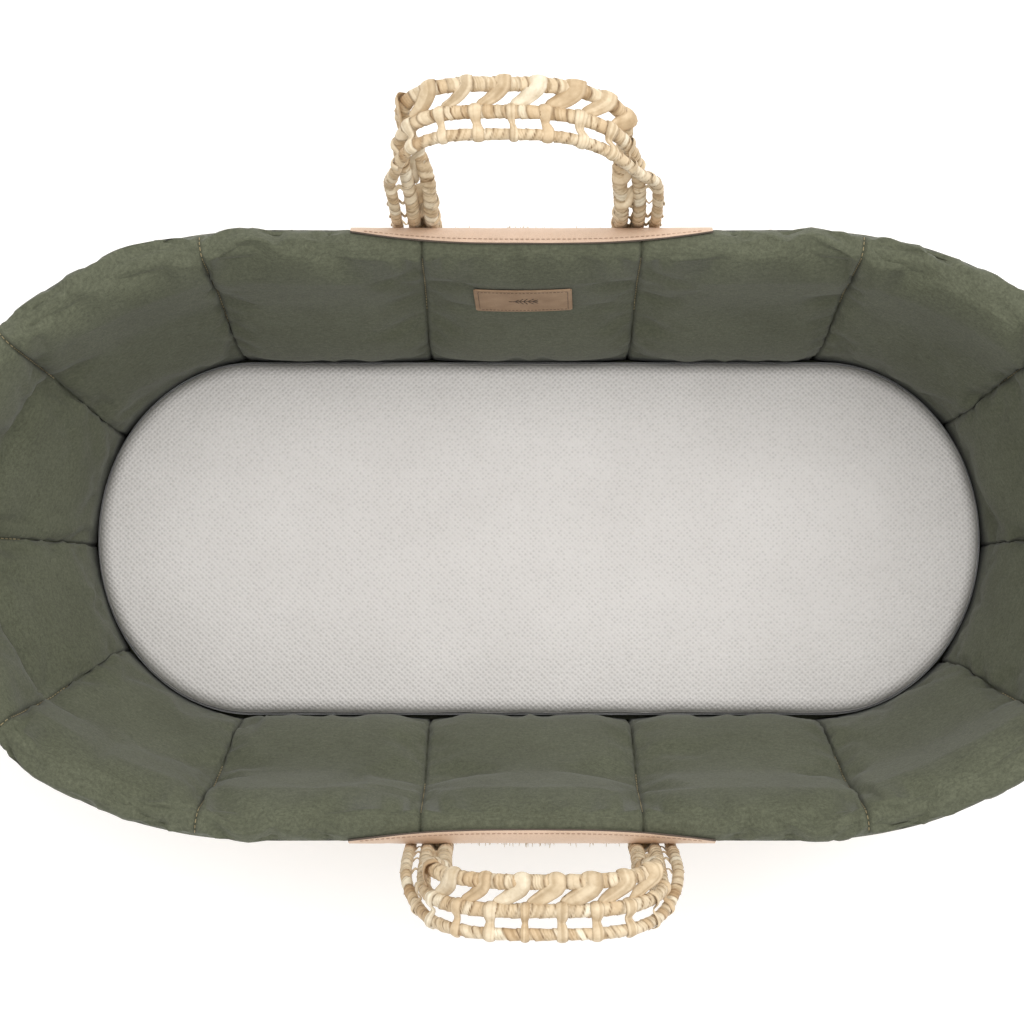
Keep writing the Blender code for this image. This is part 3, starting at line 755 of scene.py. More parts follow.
def stitches(line, spacing, length, lift=0.0, normals=None):
    """Runs of thread along a line of points, lifted off it along its normals."""
    steps = lengths_along(line)
    starts = np.arange(spacing / 2, steps[-1] - length, spacing)
    if normals is not None:
        line = line + lift * normals
    return [read_line(line, steps, (start, start + length)) for start in starts]


def seam_threads(points, finish):
    """Tan thread that shows in the upper part of each seam."""
    normals = grid_normals(points)
    runs = []
    for seam in range(PANELS):
        column = seam * PANEL_COLUMNS
        first = FACE_ROWS // 2 + int(6 * hashed(seam, 2))
        rows = slice(first, CREST_END if SKIRT_END < side_distance(SEAM_PLACES[seam]) else FACE_ROWS + 1)
        runs += stitches(points[rows, column], 0.0046, 0.0030, 0.0004, normals[rows, column])
    made = rods("liner_seam_threads", runs, 0.00042, finish)
    place(made, "basket", "liner_fabric")


def liner_floor(finish):
    """The liner's floor, a sheet that lies on the base under the mattress, with low wrinkles."""
    rings, columns = 26, 220
    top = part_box("liner_floor")[1][2]
    points = []
    for ring in range(rings):
        inset = FLOOR_INSET + 0.163 * ring / (rings - 1)
        oval = spine_inside(inset)
        flat = oval.point(oval.even(columns))
        up = top - 0.0006 + 0.0006 * noise(flat[:, 0] / 0.02, flat[:, 1] / 0.03, 31)
        points.append(np.column_stack([flat, up]))
    made = mesh_object("liner_floor_sheet", points, grid_faces(rings, columns, False, True), finish)
    thickened(made, FLOOR_THICKNESS, -1.0)
    place(made, "basket", "liner_fabric", "liner_floor")


# The skirts, which fold over the rim and hang down outside it round each end.

SKIRT_TOP_OUT = RIM_OUT + CREST_RADIUS
ELASTIC_OUT = float(wall_out(SKIRT_FOOT)) + WALL_THICKNESS + 0.0070
SKIRT_ROWS = 24
HEM_ROWS = 6
HEM_RADIUS = 0.0035
SKIRT_THICKNESS = 0.0011
ELASTIC_RADIUS = 0.0014
GATHER = 0.0042


def skirt(side, start, finish):
    """A gathered sheet from the crest down to a hem that turns up round the elastic."""
    length = SPINE.total / 2 - 2 * SKIRT_END
    columns = int(length / 0.0021)
    along = start + length * np.arange(columns) / (columns - 1)
    inset = np.minimum(along - along[0], along[-1] - along)
    fall = np.linspace(0, 1, SKIRT_ROWS - HEM_ROWS)
    turned = np.radians(np.linspace(-20, -200, HEM_ROWS))
    fall_out = SKIRT_TOP_OUT - 0.0008 + 0.0014 * np.sin(np.pi * fall)
    fall_out += (ELASTIC_OUT + HEM_RADIUS - SKIRT_TOP_OUT) * fall
    fall_up = RIM_UP + 0.002 - (RIM_UP + 0.002 - SKIRT_FOOT) * fall
    smooth_out = np.concatenate([fall_out, ELASTIC_OUT + HEM_RADIUS * np.cos(turned)])
    smooth_up = np.concatenate([fall_up, SKIRT_FOOT + HEM_RADIUS * np.sin(turned)])
    smooth_out, smooth_up = (rows[:, None] + np.zeros(columns) for rows in (smooth_out, smooth_up))
    out, up = smooth_out.copy(), smooth_up.copy()
    share = np.concatenate([fall, np.ones(HEM_ROWS)])[:, None]
    turn = along / SPINE.total
    waves = noise(turn * 92, 0 * turn, 41, 92) + 0.5 * noise(turn * 190, 0 * turn + share * 1.5, 43, 190)
    rows_in = smooth(0.10, 1.0, share)
    out += GATHER * rows_in * waves * smooth(0.0, 0.02, inset) + 0.0022 * rows_in
    out += 0.0007 * noise(turn * 300, share * 6, 47, 300) * smooth(0.0, 0.2, share)
    up += 0.0016 * share * noise(turn * 60, 0 * turn, 45, 60)
    points = at(np.broadcast_to(along, out.shape), out, up)
    tuck = np.column_stack([-0.0040 * SPINE.normal(along), 0.0022 + 0 * along])
    points[0] += tuck
    made = mesh_object(f"liner_skirt_{side}", points, grid_faces(*out.shape), finish)
    thickened(made, SKIRT_THICKNESS, 0.0)
    recalculate(made.data)
    place(made, "basket", "liner_fabric", f"skirt_{side}")
    hem = points[SKIRT_ROWS - HEM_ROWS - 3] + 0.0007 * np.column_stack([SPINE.normal(along), 0 * along])
    runs = stitches(hem[6:-6], 0.0042, 0.0028)
    threads = rods(f"skirt_hem_threads_{side}", runs, 0.0004, FINISHES["olive_thread"])
    place(threads, "basket", "liner_fabric")
    sway, lift = (out - smooth_out)[-1], (up - smooth_up)[-1]
    inside_hem = at(along, ELASTIC_OUT + sway, SKIRT_FOOT + lift)[4:-4]
    elastic = cord_mesh(f"elastic_cord_{side}", inside_hem, ELASTIC_RADIUS, FINISHES["elastic"])
    place(elastic, "basket", "elastic", f"elastic_{side}")


# The leather trims, over the liner's edge where the handles are.

TRIM_THICKNESS = 0.0014
TRIM_FOOT = RIM_UP - 0.016
TRIM_TOPS = {"front": 74, "rear": 86}


def trim(side, middle, finish):
    """A leather binding over the liner's edge, with its stitches and its dark edge."""
    columns, rows = 160, 14
    along = middle + SKIRT_END * np.linspace(-1, 1, columns) * 0.998
    share = np.abs(np.linspace(-1, 1, columns))
    top = np.radians(TRIM_TOPS[side] - 42 * share**3)
    inner = CREST_RADIUS + GAP + 0.0002
    face_out, face_up = [], []
    for f in np.linspace(0, 1, rows - 4):
        angle = top * (1 - f)
        face_out.append(RIM_OUT + inner * np.cos(angle))
        face_up.append(RIM_UP + inner * np.sin(angle))
    for f in np.linspace(0.25, 1, 4):
        face_out.append(RIM_OUT + inner + 0 * along)
        face_up.append(RIM_UP + (TRIM_FOOT - RIM_UP) * f + 0 * along)
    face_out, face_up = np.array(face_out), np.array(face_up)
    ripple = 0.0004 * noise(np.broadcast_to(along / 0.02, face_out.shape), face_up / 0.012, 51)
    points = at(np.broadcast_to(along, face_out.shape), face_out + np.abs(ripple), face_up + ripple)
    made = mesh_object(f"{side}_leather_trim", points, grid_faces(*face_out.shape), finish)
    thickened(made, TRIM_THICKNESS, 1.0 if outward_grid(points) else -1.0, bevel=0.0004)
    recalculate(made.data)
    place(made, "basket", "trim_leather", f"{side}_trim")
    normal = np.column_stack([SPINE.normal(along), 0 * along])
    angle = top * 0.86
    radius = inner + TRIM_THICKNESS + 0.0002
    seam = at(along, RIM_OUT + radius * np.cos(angle), RIM_UP + radius * np.sin(angle))
    runs = stitches(seam[4:-4], 0.0040, 0.0027, 0.0001, normal[4:-4])
    threads = rods(f"{side}_trim_stitches", runs, 0.00035, FINISHES["trim_thread"])
    place(threads, "basket", "trim_leather")
    edge = at(along, RIM_OUT + (radius - 0.0008) * np.cos(top), RIM_UP + (radius - 0.0008) * np.sin(top))
    piping = cord_mesh(f"{side}_trim_edge", edge, 0.0007, FINISHES["dark_edge"], sides=6)
    place(piping, "basket", "trim_leather")


def outward_grid(points):
    """True if a grid's faces, rows first, point away from the basket's middle."""
    a, b, c = points[0, 0], points[0, 1], points[1, 0]
    normal = np.cross(b - a, c - a)
    return float(np.dot(normal[:2], a[:2])) > 0


def cord_mesh(name, line, radius, finish, sides=8):
    """A plain round cord along a line of points, closed at its ends."""
    frames = line_frames(np.asarray(line, float))
    angle = 2 * np.pi * np.arange(sides) / sides
    rings = []
    for spot, (across, other) in zip(line, frames):
        rings.append(spot + radius * (np.cos(angle)[:, None] * across + np.sin(angle)[:, None] * other))
    return mesh_object(name, rings, tube_faces(len(rings), sides), finish, True)


def line_frames(line):
    """Two directions across a line at each of its points, turned as little as possible between them."""
    tangents = np.gradient(line, axis=0)
    tangents /= np.maximum(np.linalg.norm(tangents, axis=1, keepdims=True), 1e-12)
    across = np.cross(tangents[0], (0.0, 0.0, 1.0))
    if np.linalg.norm(across) < 1e-3:
        across = np.cross(tangents[0], (0.0, 1.0, 0.0))
    frames = []
    for tangent in tangents:
        across = across - tangent * np.dot(across, tangent)
        across = across / np.linalg.norm(across)
        frames.append((across, np.cross(tangent, across)))
    return frames


# The label.

LABEL_SIZE = (0.077, 0.050)
LABEL_TILT = math.radians(2.0)
LABEL_THICKNESS = 0.0011
LEAF_FOOT = -0.011  # of the leaf's stem, from the label's middle


def label(liner_piece, finish):
    """A leather patch that follows the liner, with a stitched border and a small embossed leaf."""
    low, high = box("label")
    centre = (low + high) / 2
    graph = bpy.context.evaluated_depsgraph_get()
    tree = BVHTree.FromObject(liner_piece, graph)
    columns, rows = 47, 25
    us = np.linspace(-0.5, 0.5, columns) * LABEL_SIZE[0]
    rise = float(high[2] - low[2])
    vs = np.linspace(-0.5, 0.5, rows) * rise
    grid = np.empty((rows, columns, 3))
    for r, v in enumerate(vs):
        for c, u in enumerate(us):
            x = centre[0] + u * math.cos(LABEL_TILT) - v * math.sin(LABEL_TILT)
            z = centre[2] + v * math.cos(LABEL_TILT) + u * math.sin(LABEL_TILT)
            hit = tree.ray_cast(Vector((x, centre[1] - 0.08, z)), Vector((0, 1, 0)))[0]
            grid[r, c] = (x, hit[1] if hit else centre[1], z)
    shape = np.stack([np.ones(grid[..., 0].size), grid[..., 0].ravel(), grid[..., 2].ravel()], 1)
    shape = np.column_stack([shape, shape[:, 1] ** 2, shape[:, 2] ** 2])
    fit = np.linalg.lstsq(shape, grid[..., 1].ravel(), rcond=None)[0]
    smooth_y = (shape @ fit).reshape(rows, columns)
    clear = float(np.max(smooth_y - grid[..., 1]))
    grid[..., 1] = smooth_y - clear - 0.0002
    for r, inner_r in ((0, 1), (-1, -2)):
        for c, inner_c in ((0, 1), (-1, -2)):
            grid[r, c] = (grid[r, c] + grid[inner_r, inner_c]) / 2
    made = mesh_object("leather_label", grid, grid_faces(rows, columns), finish)
    facing = made.data.polygons[0].normal.y < 0
    thickened(made, LABEL_THICKNESS, 1.0 if facing else -1.0, bevel=0.0003)
    place(made, "basket", "label_leather", "label")
    face = grid.copy()
    face[..., 1] -= LABEL_THICKNESS + 0.0001
    inside = face[2:-2, 2:-2]
    border = np.concatenate([inside[0], inside[:, -1], inside[-1, ::-1], inside[::-1, 0]])
    threads = rods("label_stitches", stitches(border, 0.0030, 0.0020), 0.0003, FINISHES["label_thread"])
    place(threads, "basket", "label_leather")

    def on_face(u, v):
        c = (u / LABEL_SIZE[0] + 0.5) * (columns - 1)
        r = (v / LABEL_SIZE[1] + 0.5) * (rows - 1)
        return face[int(round(r)), int(round(c))]

    stem = [on_face(LEAF_FOOT + 0.0022 * i, 0.0) for i in range(11)]
    runs = list(zip(stem, stem[1:]))
    for i in range(1, 6):
        foot = LEAF_FOOT + 0.0036 * i
        reach = 0.0062 * math.sin(math.pi * (i + 0.4) / 6.8)
        for side in (-1, 1):
            runs.append([on_face(foot, 0.0), on_face(foot + 0.0042, side * reach)])
    runs = [run for run in runs if np.linalg.norm(run[1] - run[0]) > 1e-5]
    leaf = rods("label_leaf", runs, 0.00035, FINISHES["label_print"])
    place(leaf, "basket", "label_leather")


# The mattress, a foam pad in a knitted cover with a zip round its side.

SOFT_EDGE = 0.013
CROWN = 0.0026
KNIT_THICKNESS = 0.0012
TAPE_THICKNESS = 0.0005
HALF_COLUMNS = 420


def mattress_ring(inset, up, columns, wobble=0.0):
    """Points round the mattress's outline, this far inside it."""
    low, high = MATTRESS_BOX
    oval = Oval((high[0] - low[0]) / 2 - inset, (high[1] - low[1]) / 2 - inset, MATTRESS_ROUNDNESS)
    along = oval.even(columns)
    flat = oval.point(along) + oval.normal(along) * np.reshape(wobble, (-1, 1))
    centre = [(low[0] + high[0]) / 2, (low[1] + high[1]) / 2]
    return np.column_stack([flat + centre, np.zeros(columns) + up])


def mattress_half(name, node, face_up, open_up, finish):
    """One half of the cover. Its edge is soft and its face is slightly crowned."""
    columns = HALF_COLUMNS
    turn = np.arange(columns) / columns
    way = 1 if face_up > open_up else -1
    height = abs(face_up - open_up)
    edge = min(SOFT_EDGE, height * 0.85)
    lip = mattress_ring(0.0035, open_up + way * 0.0004, columns)
    rings = [lip, mattress_ring(0.0012, open_up, columns)]
    for share in np.linspace(0.0, 1.0, 5):
        up = open_up + way * (height - edge) * share
        bulge = 0.0006 * math.sin(math.pi * 0.5 * share)
        if way > 0:
            bulge += 0.0015 * (1 - share) ** 2
        wobble = 0.0005 * noise(turn * 70, 0 * turn + up / 0.02, 61, 70)
        rings.append(mattress_ring(0.0003 - bulge, up + 0 * turn, columns, wobble * share))
    for angle in np.radians(np.linspace(9, 90, 10)):
        inset = edge * (1 - math.cos(angle)) - 0.0003
        up = face_up - way * edge * (1 - math.sin(angle)) - way * CROWN
        wobble = 0.0004 * noise(turn * 70, 0 * turn + up / 0.02, 61, 70)
        rings.append(mattress_ring(inset, up, columns, wobble))
    deepest = (MATTRESS_BOX[1][1] - MATTRESS_BOX[0][1]) / 2 - 0.004
    for share in np.linspace(0.03, 1.0, 34):
        inset = edge + (deepest - edge) * share
        ring = mattress_ring(inset, 0.0, columns)
        crown = CROWN * (1 - (1 - min(1.0, share * 1.5)) ** 2)
        dip = 0.0005 * noise(ring[:, 0] / 0.045, ring[:, 1] / 0.045, 63)
        ring[:, 2] = face_up - way * (CROWN - crown) + way * np.minimum(dip, 0.0)
        rings.append(ring)
    faces = grid_faces(len(rings), columns, False, True)
    last = (len(rings) - 1) * columns
    half = columns // 2
    for i in range(half - 1):
        faces.append((last + i, last + i + 1, last + columns - 2 - i, last + columns - 1 - i))
    made = mesh_object(name, rings, faces, finish)
    thickened(made, KNIT_THICKNESS, -1.0)
    recalculate(made.data)
    place(made, "mattress", "mattress_cover", node)


def foam_core(finish):
    """The foam inside the cover, with the same soft edges."""
    columns, inset = 240, 0.0022
    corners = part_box("mattress_core")
    low, high = corners[0][2] + inset, corners[1][2] - CROWN - KNIT_THICKNESS
    edge = SOFT_EDGE - inset
    rings = []
    for way, face_up in ((-1, low), (1, high)):
        angles = np.radians(np.linspace(90, 0, 7))
        for angle in angles if way < 0 else angles[::-1]:
            up = face_up - way * edge * (1 - math.sin(angle))
            rings.append(mattress_ring(inset + edge * (1 - math.cos(angle)), up, columns))
    made = mesh_object("foam_pad", rings, tube_faces(len(rings), columns), finish, True)
    place(made, "mattress", "foam", "mattress_core")


def zip_round():
    """The tape with its rows of teeth and the piped edges of the cover."""
    low, high = box("zip_tape")
    columns = 400
    middle = (low[2] + high[2]) / 2
    rows = []
    for share in np.linspace(0, 1, 9):
        up = low[2] + (high[2] - low[2]) * share
        dip = 0.0006 * math.sin(math.pi * share)
        rows.append(mattress_ring(dip - 0.0007, up, columns))
    made = mesh_object("zip_tape_band", rows, grid_faces(9, columns, False, True), FINISHES["zip"])
    thickened(made, TAPE_THICKNESS, 0.0)
    recalculate(made.data)
    place(made, "mattress", "zip_tape", "zip_tape")
    oval = mattress_ring(-0.0006, middle, 2400)
    steps = lengths_along(oval)
    runs = []
    for i, spot in enumerate(read_line(oval, steps, np.arange(0.0, steps[-1], 0.0017))):
        off = 0.0004 * (1 if i % 2 else -1)
        runs.append([spot + (0, 0, off - 0.0011), spot + (0, 0, off + 0.0011)])
    teeth = rods("zip_teeth", runs, 0.0005, FINISHES["zip_teeth"], sides=5)
    place(teeth, "mattress", "zip_tape")
    for name, up, inset, radius in (
        ("lower", low[2] - 0.0004, -0.0004, 0.0008),
        ("upper", high[2] + 0.0006, -0.0019, 0.0010),
    ):
        ring = mattress_ring(inset, up, HALF_COLUMNS)
        piping = ring_cord(f"zip_edge_{name}", ring, radius, FINISHES["zip_edge"])
        place(piping, "mattress", "zip_tape")


def ring_cord(name, line, radius, finish, sides=8):
    """A round cord along a closed level line."""
    line = np.asarray(line)
    tangent = np.roll(line, -1, 0) - np.roll(line, 1, 0)
    tangent /= np.linalg.norm(tangent, axis=1, keepdims=True)
    across = np.cross(tangent, (0.0, 0.0, 1.0))
    angle = 2 * np.pi * np.arange(sides) / sides
    rings = line[:, None] + radius * (
        np.cos(angle)[None, :, None] * across[:, None]
        + np.sin(angle)[None, :, None] * np.array((0.0, 0.0, 1.0))
    )
    return mesh_object(name, rings, grid_faces(len(line), sides, True, True), finish, True)


def rounded_plate(name, outline, thickness, finish, bevel):
    """A plate in XZ with this outline, its edges rounded."""
    work = bmesh.new()
    face = work.faces.new([work.verts.new((x, 0.0, z)) for x, z in outline])
    made = bmesh.ops.extrude_face_region(work, geom=[face])
    for thing in made["geom"]:
        if isinstance(thing, bmesh.types.BMVert):
            thing.co.y += thickness
    bmesh.ops.recalc_face_normals(work, faces=work.faces)
    bmesh.ops.bevel(work, geom=work.edges[:], offset=bevel, segments=2, affect="EDGES", clamp_overlap=True)
    mesh = bpy.data.meshes.new(name)
    work.to_mesh(mesh)
    work.free()
    mesh.shade_smooth()
    mesh.materials.append(finish)
    plate = bpy.data.objects.new(name, mesh)
    bpy.context.scene.collection.objects.link(plate)
    return plate


def zip_plate(name, node, count, outline, bevel):
    """A rounded metal plate that fills a node's box. outline gives (x, z) at an angle, as shares of the
    box's half size."""
    low, high = box(node)
    middle, half = (low + high) / 2, (high - low) / 2
    spots = [outline(2 * math.pi * i / count) for i in range(count)]
    spots = [(half[0] * x, half[2] * z) for x, z in spots]
    plate = rounded_plate(name, spots, 2 * half[1], FINISHES["metal"], bevel)
    plate.data.transform(Matrix.Translation((middle[0], low[1], middle[2])))
    place(plate, "zip_slider", "zip_metal", node)


def slider_outline(angle):
    return math.cos(angle), 0.8 * (1.0 + 0.25 * math.cos(angle)) * math.sin(angle)


def pull_outline(angle):
    return (0.78 + 0.11 * (1 - math.sin(angle))) * math.cos(angle), math.sin(angle)


def slider():
    """The zip's slider, the bridge on its face and the pull."""
    zip_plate("zip_slider_body", "zip_slider", 24, slider_outline, 0.00035)
    low, high = box("zip_slider")
    middle, reach = (low + high) / 2, 0.3 * (high - low)[0]
    angles = np.linspace(0, math.pi, 17)
    line = [(middle[0] + reach * math.cos(a), high[1] + 0.0016 * math.sin(a), middle[2]) for a in angles]
    bridge = cord_mesh("zip_slider_bridge", line, 0.0005, FINISHES["metal"])
    place(bridge, "zip_slider", "zip_metal")
    zip_plate("zip_pull_tab", "zip_pull", 28, pull_outline, 0.00025)


# Palm work.


def relaxed(line, times):
    """A line with each point but its ends drawn towards its neighbours, this many times over."""
    for _ in range(times):
        line[1:-1] = (line[:-2] + 2 * line[1:-1] + line[2:]) / 4
    return line


def palm_attributes(made, leaf, grain, tuck):
    """What the palm_leaf material reads: each strip's tone, its fine lines, and how tucked in it is, for the
    painted shade there.
    """
    for name, values in (("leaf", leaf), ("grain", grain), ("tuck", tuck)):
        attribute(made, name, values)


def wound(name, line, radius, finish, seed, turn, spacing=0.0010):
    """A cord wound with palm leaf along a line. Each turn has its own width and tone, and laps over the
    one before it."""
    steps = lengths_along(line)
    count = int(steps[-1] / spacing)
    places = np.linspace(0, steps[-1], count)
    dense = relaxed(read_line(line, steps, places), 2)
    sides = 12
    turns = int(steps[-1] / turn) + 4
    widths = turn * (0.62 + 0.76 * hashed(np.arange(turns), seed))
    starts = np.concatenate([[-2 * turn], -2 * turn + np.cumsum(widths)])
    angle = 2 * np.pi * np.arange(sides) / sides
    where = places[:, None] + 0.35 * turn * np.sin(angle + seed)[None, :]
    which = np.clip(np.searchsorted(starts, where) - 1, 0, turns - 1)
    share = (where - starts[which]) / widths[which]
    step = 0.11 * (1 - np.clip(share, 0, 1)) ** 1.5 + 0.06 * (hashed(which, seed + 1) - 0.5)
    flat_facet = 0.05 * noise(angle[None, :] * 1.3 + which * 3.7, places[:, None] / 0.01, seed + 2)
    reach = radius * (0.95 + step + flat_facet)
    rings = []
    for i, (across, other) in enumerate(line_frames(dense)):
        flat = np.cos(angle)[:, None] * across + np.sin(angle)[:, None] * other
        rings.append(dense[i] + reach[i][:, None] * flat)
    made = mesh_object(name, rings, tube_faces(count, sides), finish, True)
    # painted shade: darker at each turn's edges, where the turns lap over each other
    tuck = np.exp(-share / 0.10) + 0.8 * np.exp(-(1 - share) / 0.06)
    palm_attributes(made, hashed(which, seed + 3), hashed(np.floor(share * 9), which, seed + 4), tuck)
    return made


def leaf_strip(line, widths, twists, seed, thickness=0.0009):
    """(points, faces, leaf, tuck, grain) of a flat leaf along a line. widths are half widths along it, and
    twists are the directions that its width runs in."""
    line = np.asarray(line, float)
    count, across = len(line), 7
    tangents = np.gradient(line, axis=0)
    tangents /= np.linalg.norm(tangents, axis=1, keepdims=True)
    points, tuck = [], []
    for i in range(count):
        wide = twists[i] - tangents[i] * np.dot(twists[i], tangents[i])
        wide = wide / np.linalg.norm(wide)
        face = np.cross(tangents[i], wide)
        ring = []
        for side in (1, -1):
            for j in range(across):
                u = (j / (across - 1) * 2 - 1) * side
                lift = 0.22 * widths[i] * (1 - u * u) + side * thickness / 2 * (1 - u**4)
                ring.append(line[i] + wide * u * widths[i] + face * lift)
                # painted shade: the strip darkens towards its edges
                tuck.append(max(0.0, abs(u) - 0.75) * 2.2)
        points.append(ring)
    sides = 2 * across
    flat = np.asarray(points).reshape(-1, 3)
    grain = np.tile(hashed(np.arange(sides), seed * 50), count)
    return flat, tube_faces(count, sides), np.full(len(flat), seed), np.asarray(tuck), grain


def joined(name, parts, finish):
    """One piece from (points, faces, leaf, tuck, grain) parts."""
    faces, first = [], 0
    for own_points, own_faces, *_ in parts:
        faces += [tuple(first + i for i in face) for face in own_faces]
        first += len(own_points)
    points, leaf, tuck, grain = (np.concatenate([part[k] for part in parts]) for k in (0, 2, 3, 4))
    made = mesh_object(name, points, faces, finish, True)
    palm_attributes(made, leaf, grain, tuck)
    return made


def plait(across, up, strip, count, seed):
    """A plain plait at 45 degrees: its height from 0 to 1, each leaf's tone, and how tucked in it is, for
    painted shade.
    count strips make the whole way round."""
    a, b = (across + up) / strip, (across - up) / strip
    i, j = np.floor(a), np.floor(b)
    on_a = np.mod(i + j, 2) < 1
    fa, fb = a - i, b - j
    edge = 2 * np.abs(np.where(on_a, fa, fb) - 0.5)
    run = np.where(on_a, fb, fa)
    height = 0.55 * (1 - edge**6) * (0.35 + 0.65 * np.sin(np.pi * run)) + 0.45 * np.sin(np.pi * run)
    tone = np.where(on_a, hashed(np.mod(i, count), seed), hashed(np.mod(j, count), seed + 7))
    # painted shade: darker at each strand's edges and where it passes under the crossing strand
    tuck = smooth(0.72, 1.0, edge) * 0.8 + smooth(0.38, 0.5, np.abs(run - 0.5)) * 0.7
    return height, tone, tuck


STRIP = 0.0095
PLAIT_DEPTH = 0.0022
BASE_ROWS = 4
SEWING_PITCH = 0.021
SEWING_HALF_WIDTH = 0.0019
BRISTLES = 150  # under each trim
BRISTLE_RADIUS = 0.00032


def wall_course(index, finish):
    """One row of the wall, a band of plaited palm that bulges between the rows' sewn edges."""
    low, high = WALL_HEIGHT * index / COURSES + 0.0003, WALL_HEIGHT * (index + 1) / COURSES - 0.0003
    columns, face_rows, back_rows = 1040, 26, 5
    count = 2 * round(SPINE.total / STRIP / 2)
    turn = np.arange(columns) / columns
    share = np.linspace(0, 1, face_rows)[:, None] + 0 * turn
    up = low + (high - low) * share
    around = turn * count * STRIP + 0 * up
    height, tone, tuck = plait(around + 0.004 * index, up - low, STRIP, count, 71 + index)
    edge = smooth(0.0, 0.10, share) * smooth(0.0, 0.10, 1 - share)
    bulge = 0.0012 * np.sin(np.pi * share)
    out = wall_out(up) + WALL_THICKNESS - PLAIT_DEPTH + bulge + PLAIT_DEPTH * height * edge
    up = up + 0.0006 * noise(turn * 120, share * 2, 73, 120) * edge
    back = np.linspace(1, 0, back_rows)[:, None] + 0 * turn
    back_up = low + (high - low) * back
    out = np.concatenate([out, wall_out(back_up) + 0.0008])
    up = np.concatenate([up, back_up])
    points = at(turn * SPINE.total + 0 * out, out, up)
    rows = face_rows + back_rows
    faces = grid_faces(rows, columns, True, True)
    made = mesh_object(f"palm_wall_row_{index + 1}", points, faces, finish, True)
    padding = np.zeros((back_rows, columns))
    grain = hashed(np.arange(rows)[:, None], np.floor(np.arange(columns) / 3), index)
    # painted shade along each row's top and bottom, where the rows meet, on top of the plait's own
    tuck = np.concatenate([np.maximum(tuck, 0.9 * (1 - edge)), padding])
    palm_attributes(made, np.concatenate([tone, padding + 0.4]), grain, tuck)
    place(made, "basket", "palm", f"wall_course_{index + 1}")


def wall_sewing(finish):
    """Slanting palm stitches that join each row of the wall to the next."""
    parts = []
    for seam in range(1, COURSES):
        level = WALL_HEIGHT * seam / COURSES
        for k in range(int(SPINE.total / SEWING_PITCH)):
            along = k * SEWING_PITCH + 0.004 * hashed(k, seam)
            line, widths, twists = [], [], []
            for share in np.linspace(-1, 1, 7):
                up = level + 0.0042 * share
                lift = 0.0011 + 0.0016 * (1 - share * share)
                spot = at(along + 0.0035 * share, wall_out(up) + WALL_THICKNESS - PLAIT_DEPTH + lift, up)
                line.append(spot)
                widths.append(SEWING_HALF_WIDTH)
                twists.append(at(along + 0.004, 0.05, level) - at(along - 0.004, 0.05, level))
            parts.append(leaf_strip(line, widths, twists, float(hashed(k, seam, 5)), 0.0007))
    made = joined("palm_wall_sewing", parts, finish)
    place(made, "basket", "palm")


def base(finish):
    """The base: rows of plait sewn round one inside the next, the same above and below."""
    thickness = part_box("woven_base")[1][2]
    row_width = (SPINE_HALF_WIDTH - 0.0035) / BASE_ROWS
    columns, rings_each = 740, 16
    turn = np.arange(columns) / columns
    under, over, tones, tucks = [], [], [], []
    for row in range(BASE_ROWS):
        count = 2 * round(spine_inside((row + 0.5) * row_width).total / STRIP / 2)
        for share in np.linspace(0.0, 0.985, rings_each):
            oval = spine_inside(0.0008 + (row + share) * row_width)
            flat = oval.point(oval.even(columns))
            height, tone, tuck = plait(turn * count * STRIP, share * row_width, STRIP, count, 81 + row)
            edge = smooth(0.0, 0.09, share) * smooth(0.0, 0.09, 1 - share)
            low = 0.0022 - 0.0021 * height * edge
            under.append(np.column_stack([flat, low]))
            over.append(np.column_stack([flat, thickness - low * 0.6 + 0 * low]))
            tones.append(tone)
            # painted shade along each row's edges, where the rows meet, on top of the plait's own
            tucks.append(np.maximum(tuck, 0.9 * (1 - edge)))
    points = np.array(under + over[::-1])
    made = mesh_object("palm_base", points, grid_faces(len(points), columns, True, True), finish, True)
    grain = hashed(np.arange(len(points))[:, None], np.floor(np.arange(columns) / 3))
    palm_attributes(made, np.array(tones + tones[::-1]), grain, np.array(tucks + tucks[::-1]))
    place(made, "basket", "palm", "woven_base")


def rim(finish):
    """The wound cord that finishes the wall's top row."""
    along = np.linspace(0, SPINE.total, 800)
    line = at(along, RIM_OUT, RIM_UP)
    made = wound("palm_rim", line, RIM_RADIUS * 0.96, finish, 91, 0.010, 0.0022)
    place(made, "basket", "rim_palm", "rim_cord")


def bristles(side, middle, finish):
    """Frayed ends of leaf that stick out of the wall just under a trim."""
    runs = []
    for i in range(BRISTLES):
        along = middle + (hashed(i, 1, middle > 1) - 0.5) * 0.150
        lean = (hashed(i, 2) - 0.5) * 0.006
        reach = 0.0145 + 0.0050 * hashed(i, 3) ** 2
        foot_up = RIM_UP - 0.026 + 0.008 * hashed(i, 4)
        foot = at(along, float(wall_out(foot_up)) + WALL_THICKNESS - 0.0015, foot_up)
        tip = at(along + lean, RIM_OUT + reach, foot_up + 0.010 + 0.008 * hashed(i, 5))
        runs.append([foot, tip])
    made = rods(f"palm_bristles_{side}", runs, BRISTLE_RADIUS, finish, sides=5)
    place(made, "basket", "palm")


# The handles.

HANDLE_HALF_SPAN = 0.086
LEG_PITCH = 0.0135
TOP_PITCH = 0.0185
LOOP_SPREAD = {-1: 1.08, 0: 1.0, 1: 0.88}
LOOP_HEIGHT = 0.130
LOOP_CORNER = (0.056, 0.048)
TWIST_FROM, TWIST_TO = 0.042, 0.088
TAIL_FOOT = 0.060
TAIL_LIFT = 0.0065  # of a tail's cords off the wall
TAIL_BEND_FROM, TAIL_BEND_TO = 0.180, 0.225  # heights between which a tail swings out to the hinge
TAIL_OUT = RIM_OUT + CREST_RADIUS + 0.0075
STRAP_INSIDE_AXIS = 0.006
CORD_SIZES = {"inner": 0.0055, "middle": 0.0051, "outer": 0.0043}
CORD_OFFSETS = {"inner": -1, "middle": 0, "outer": 1}
LACE_PITCH = 0.0245
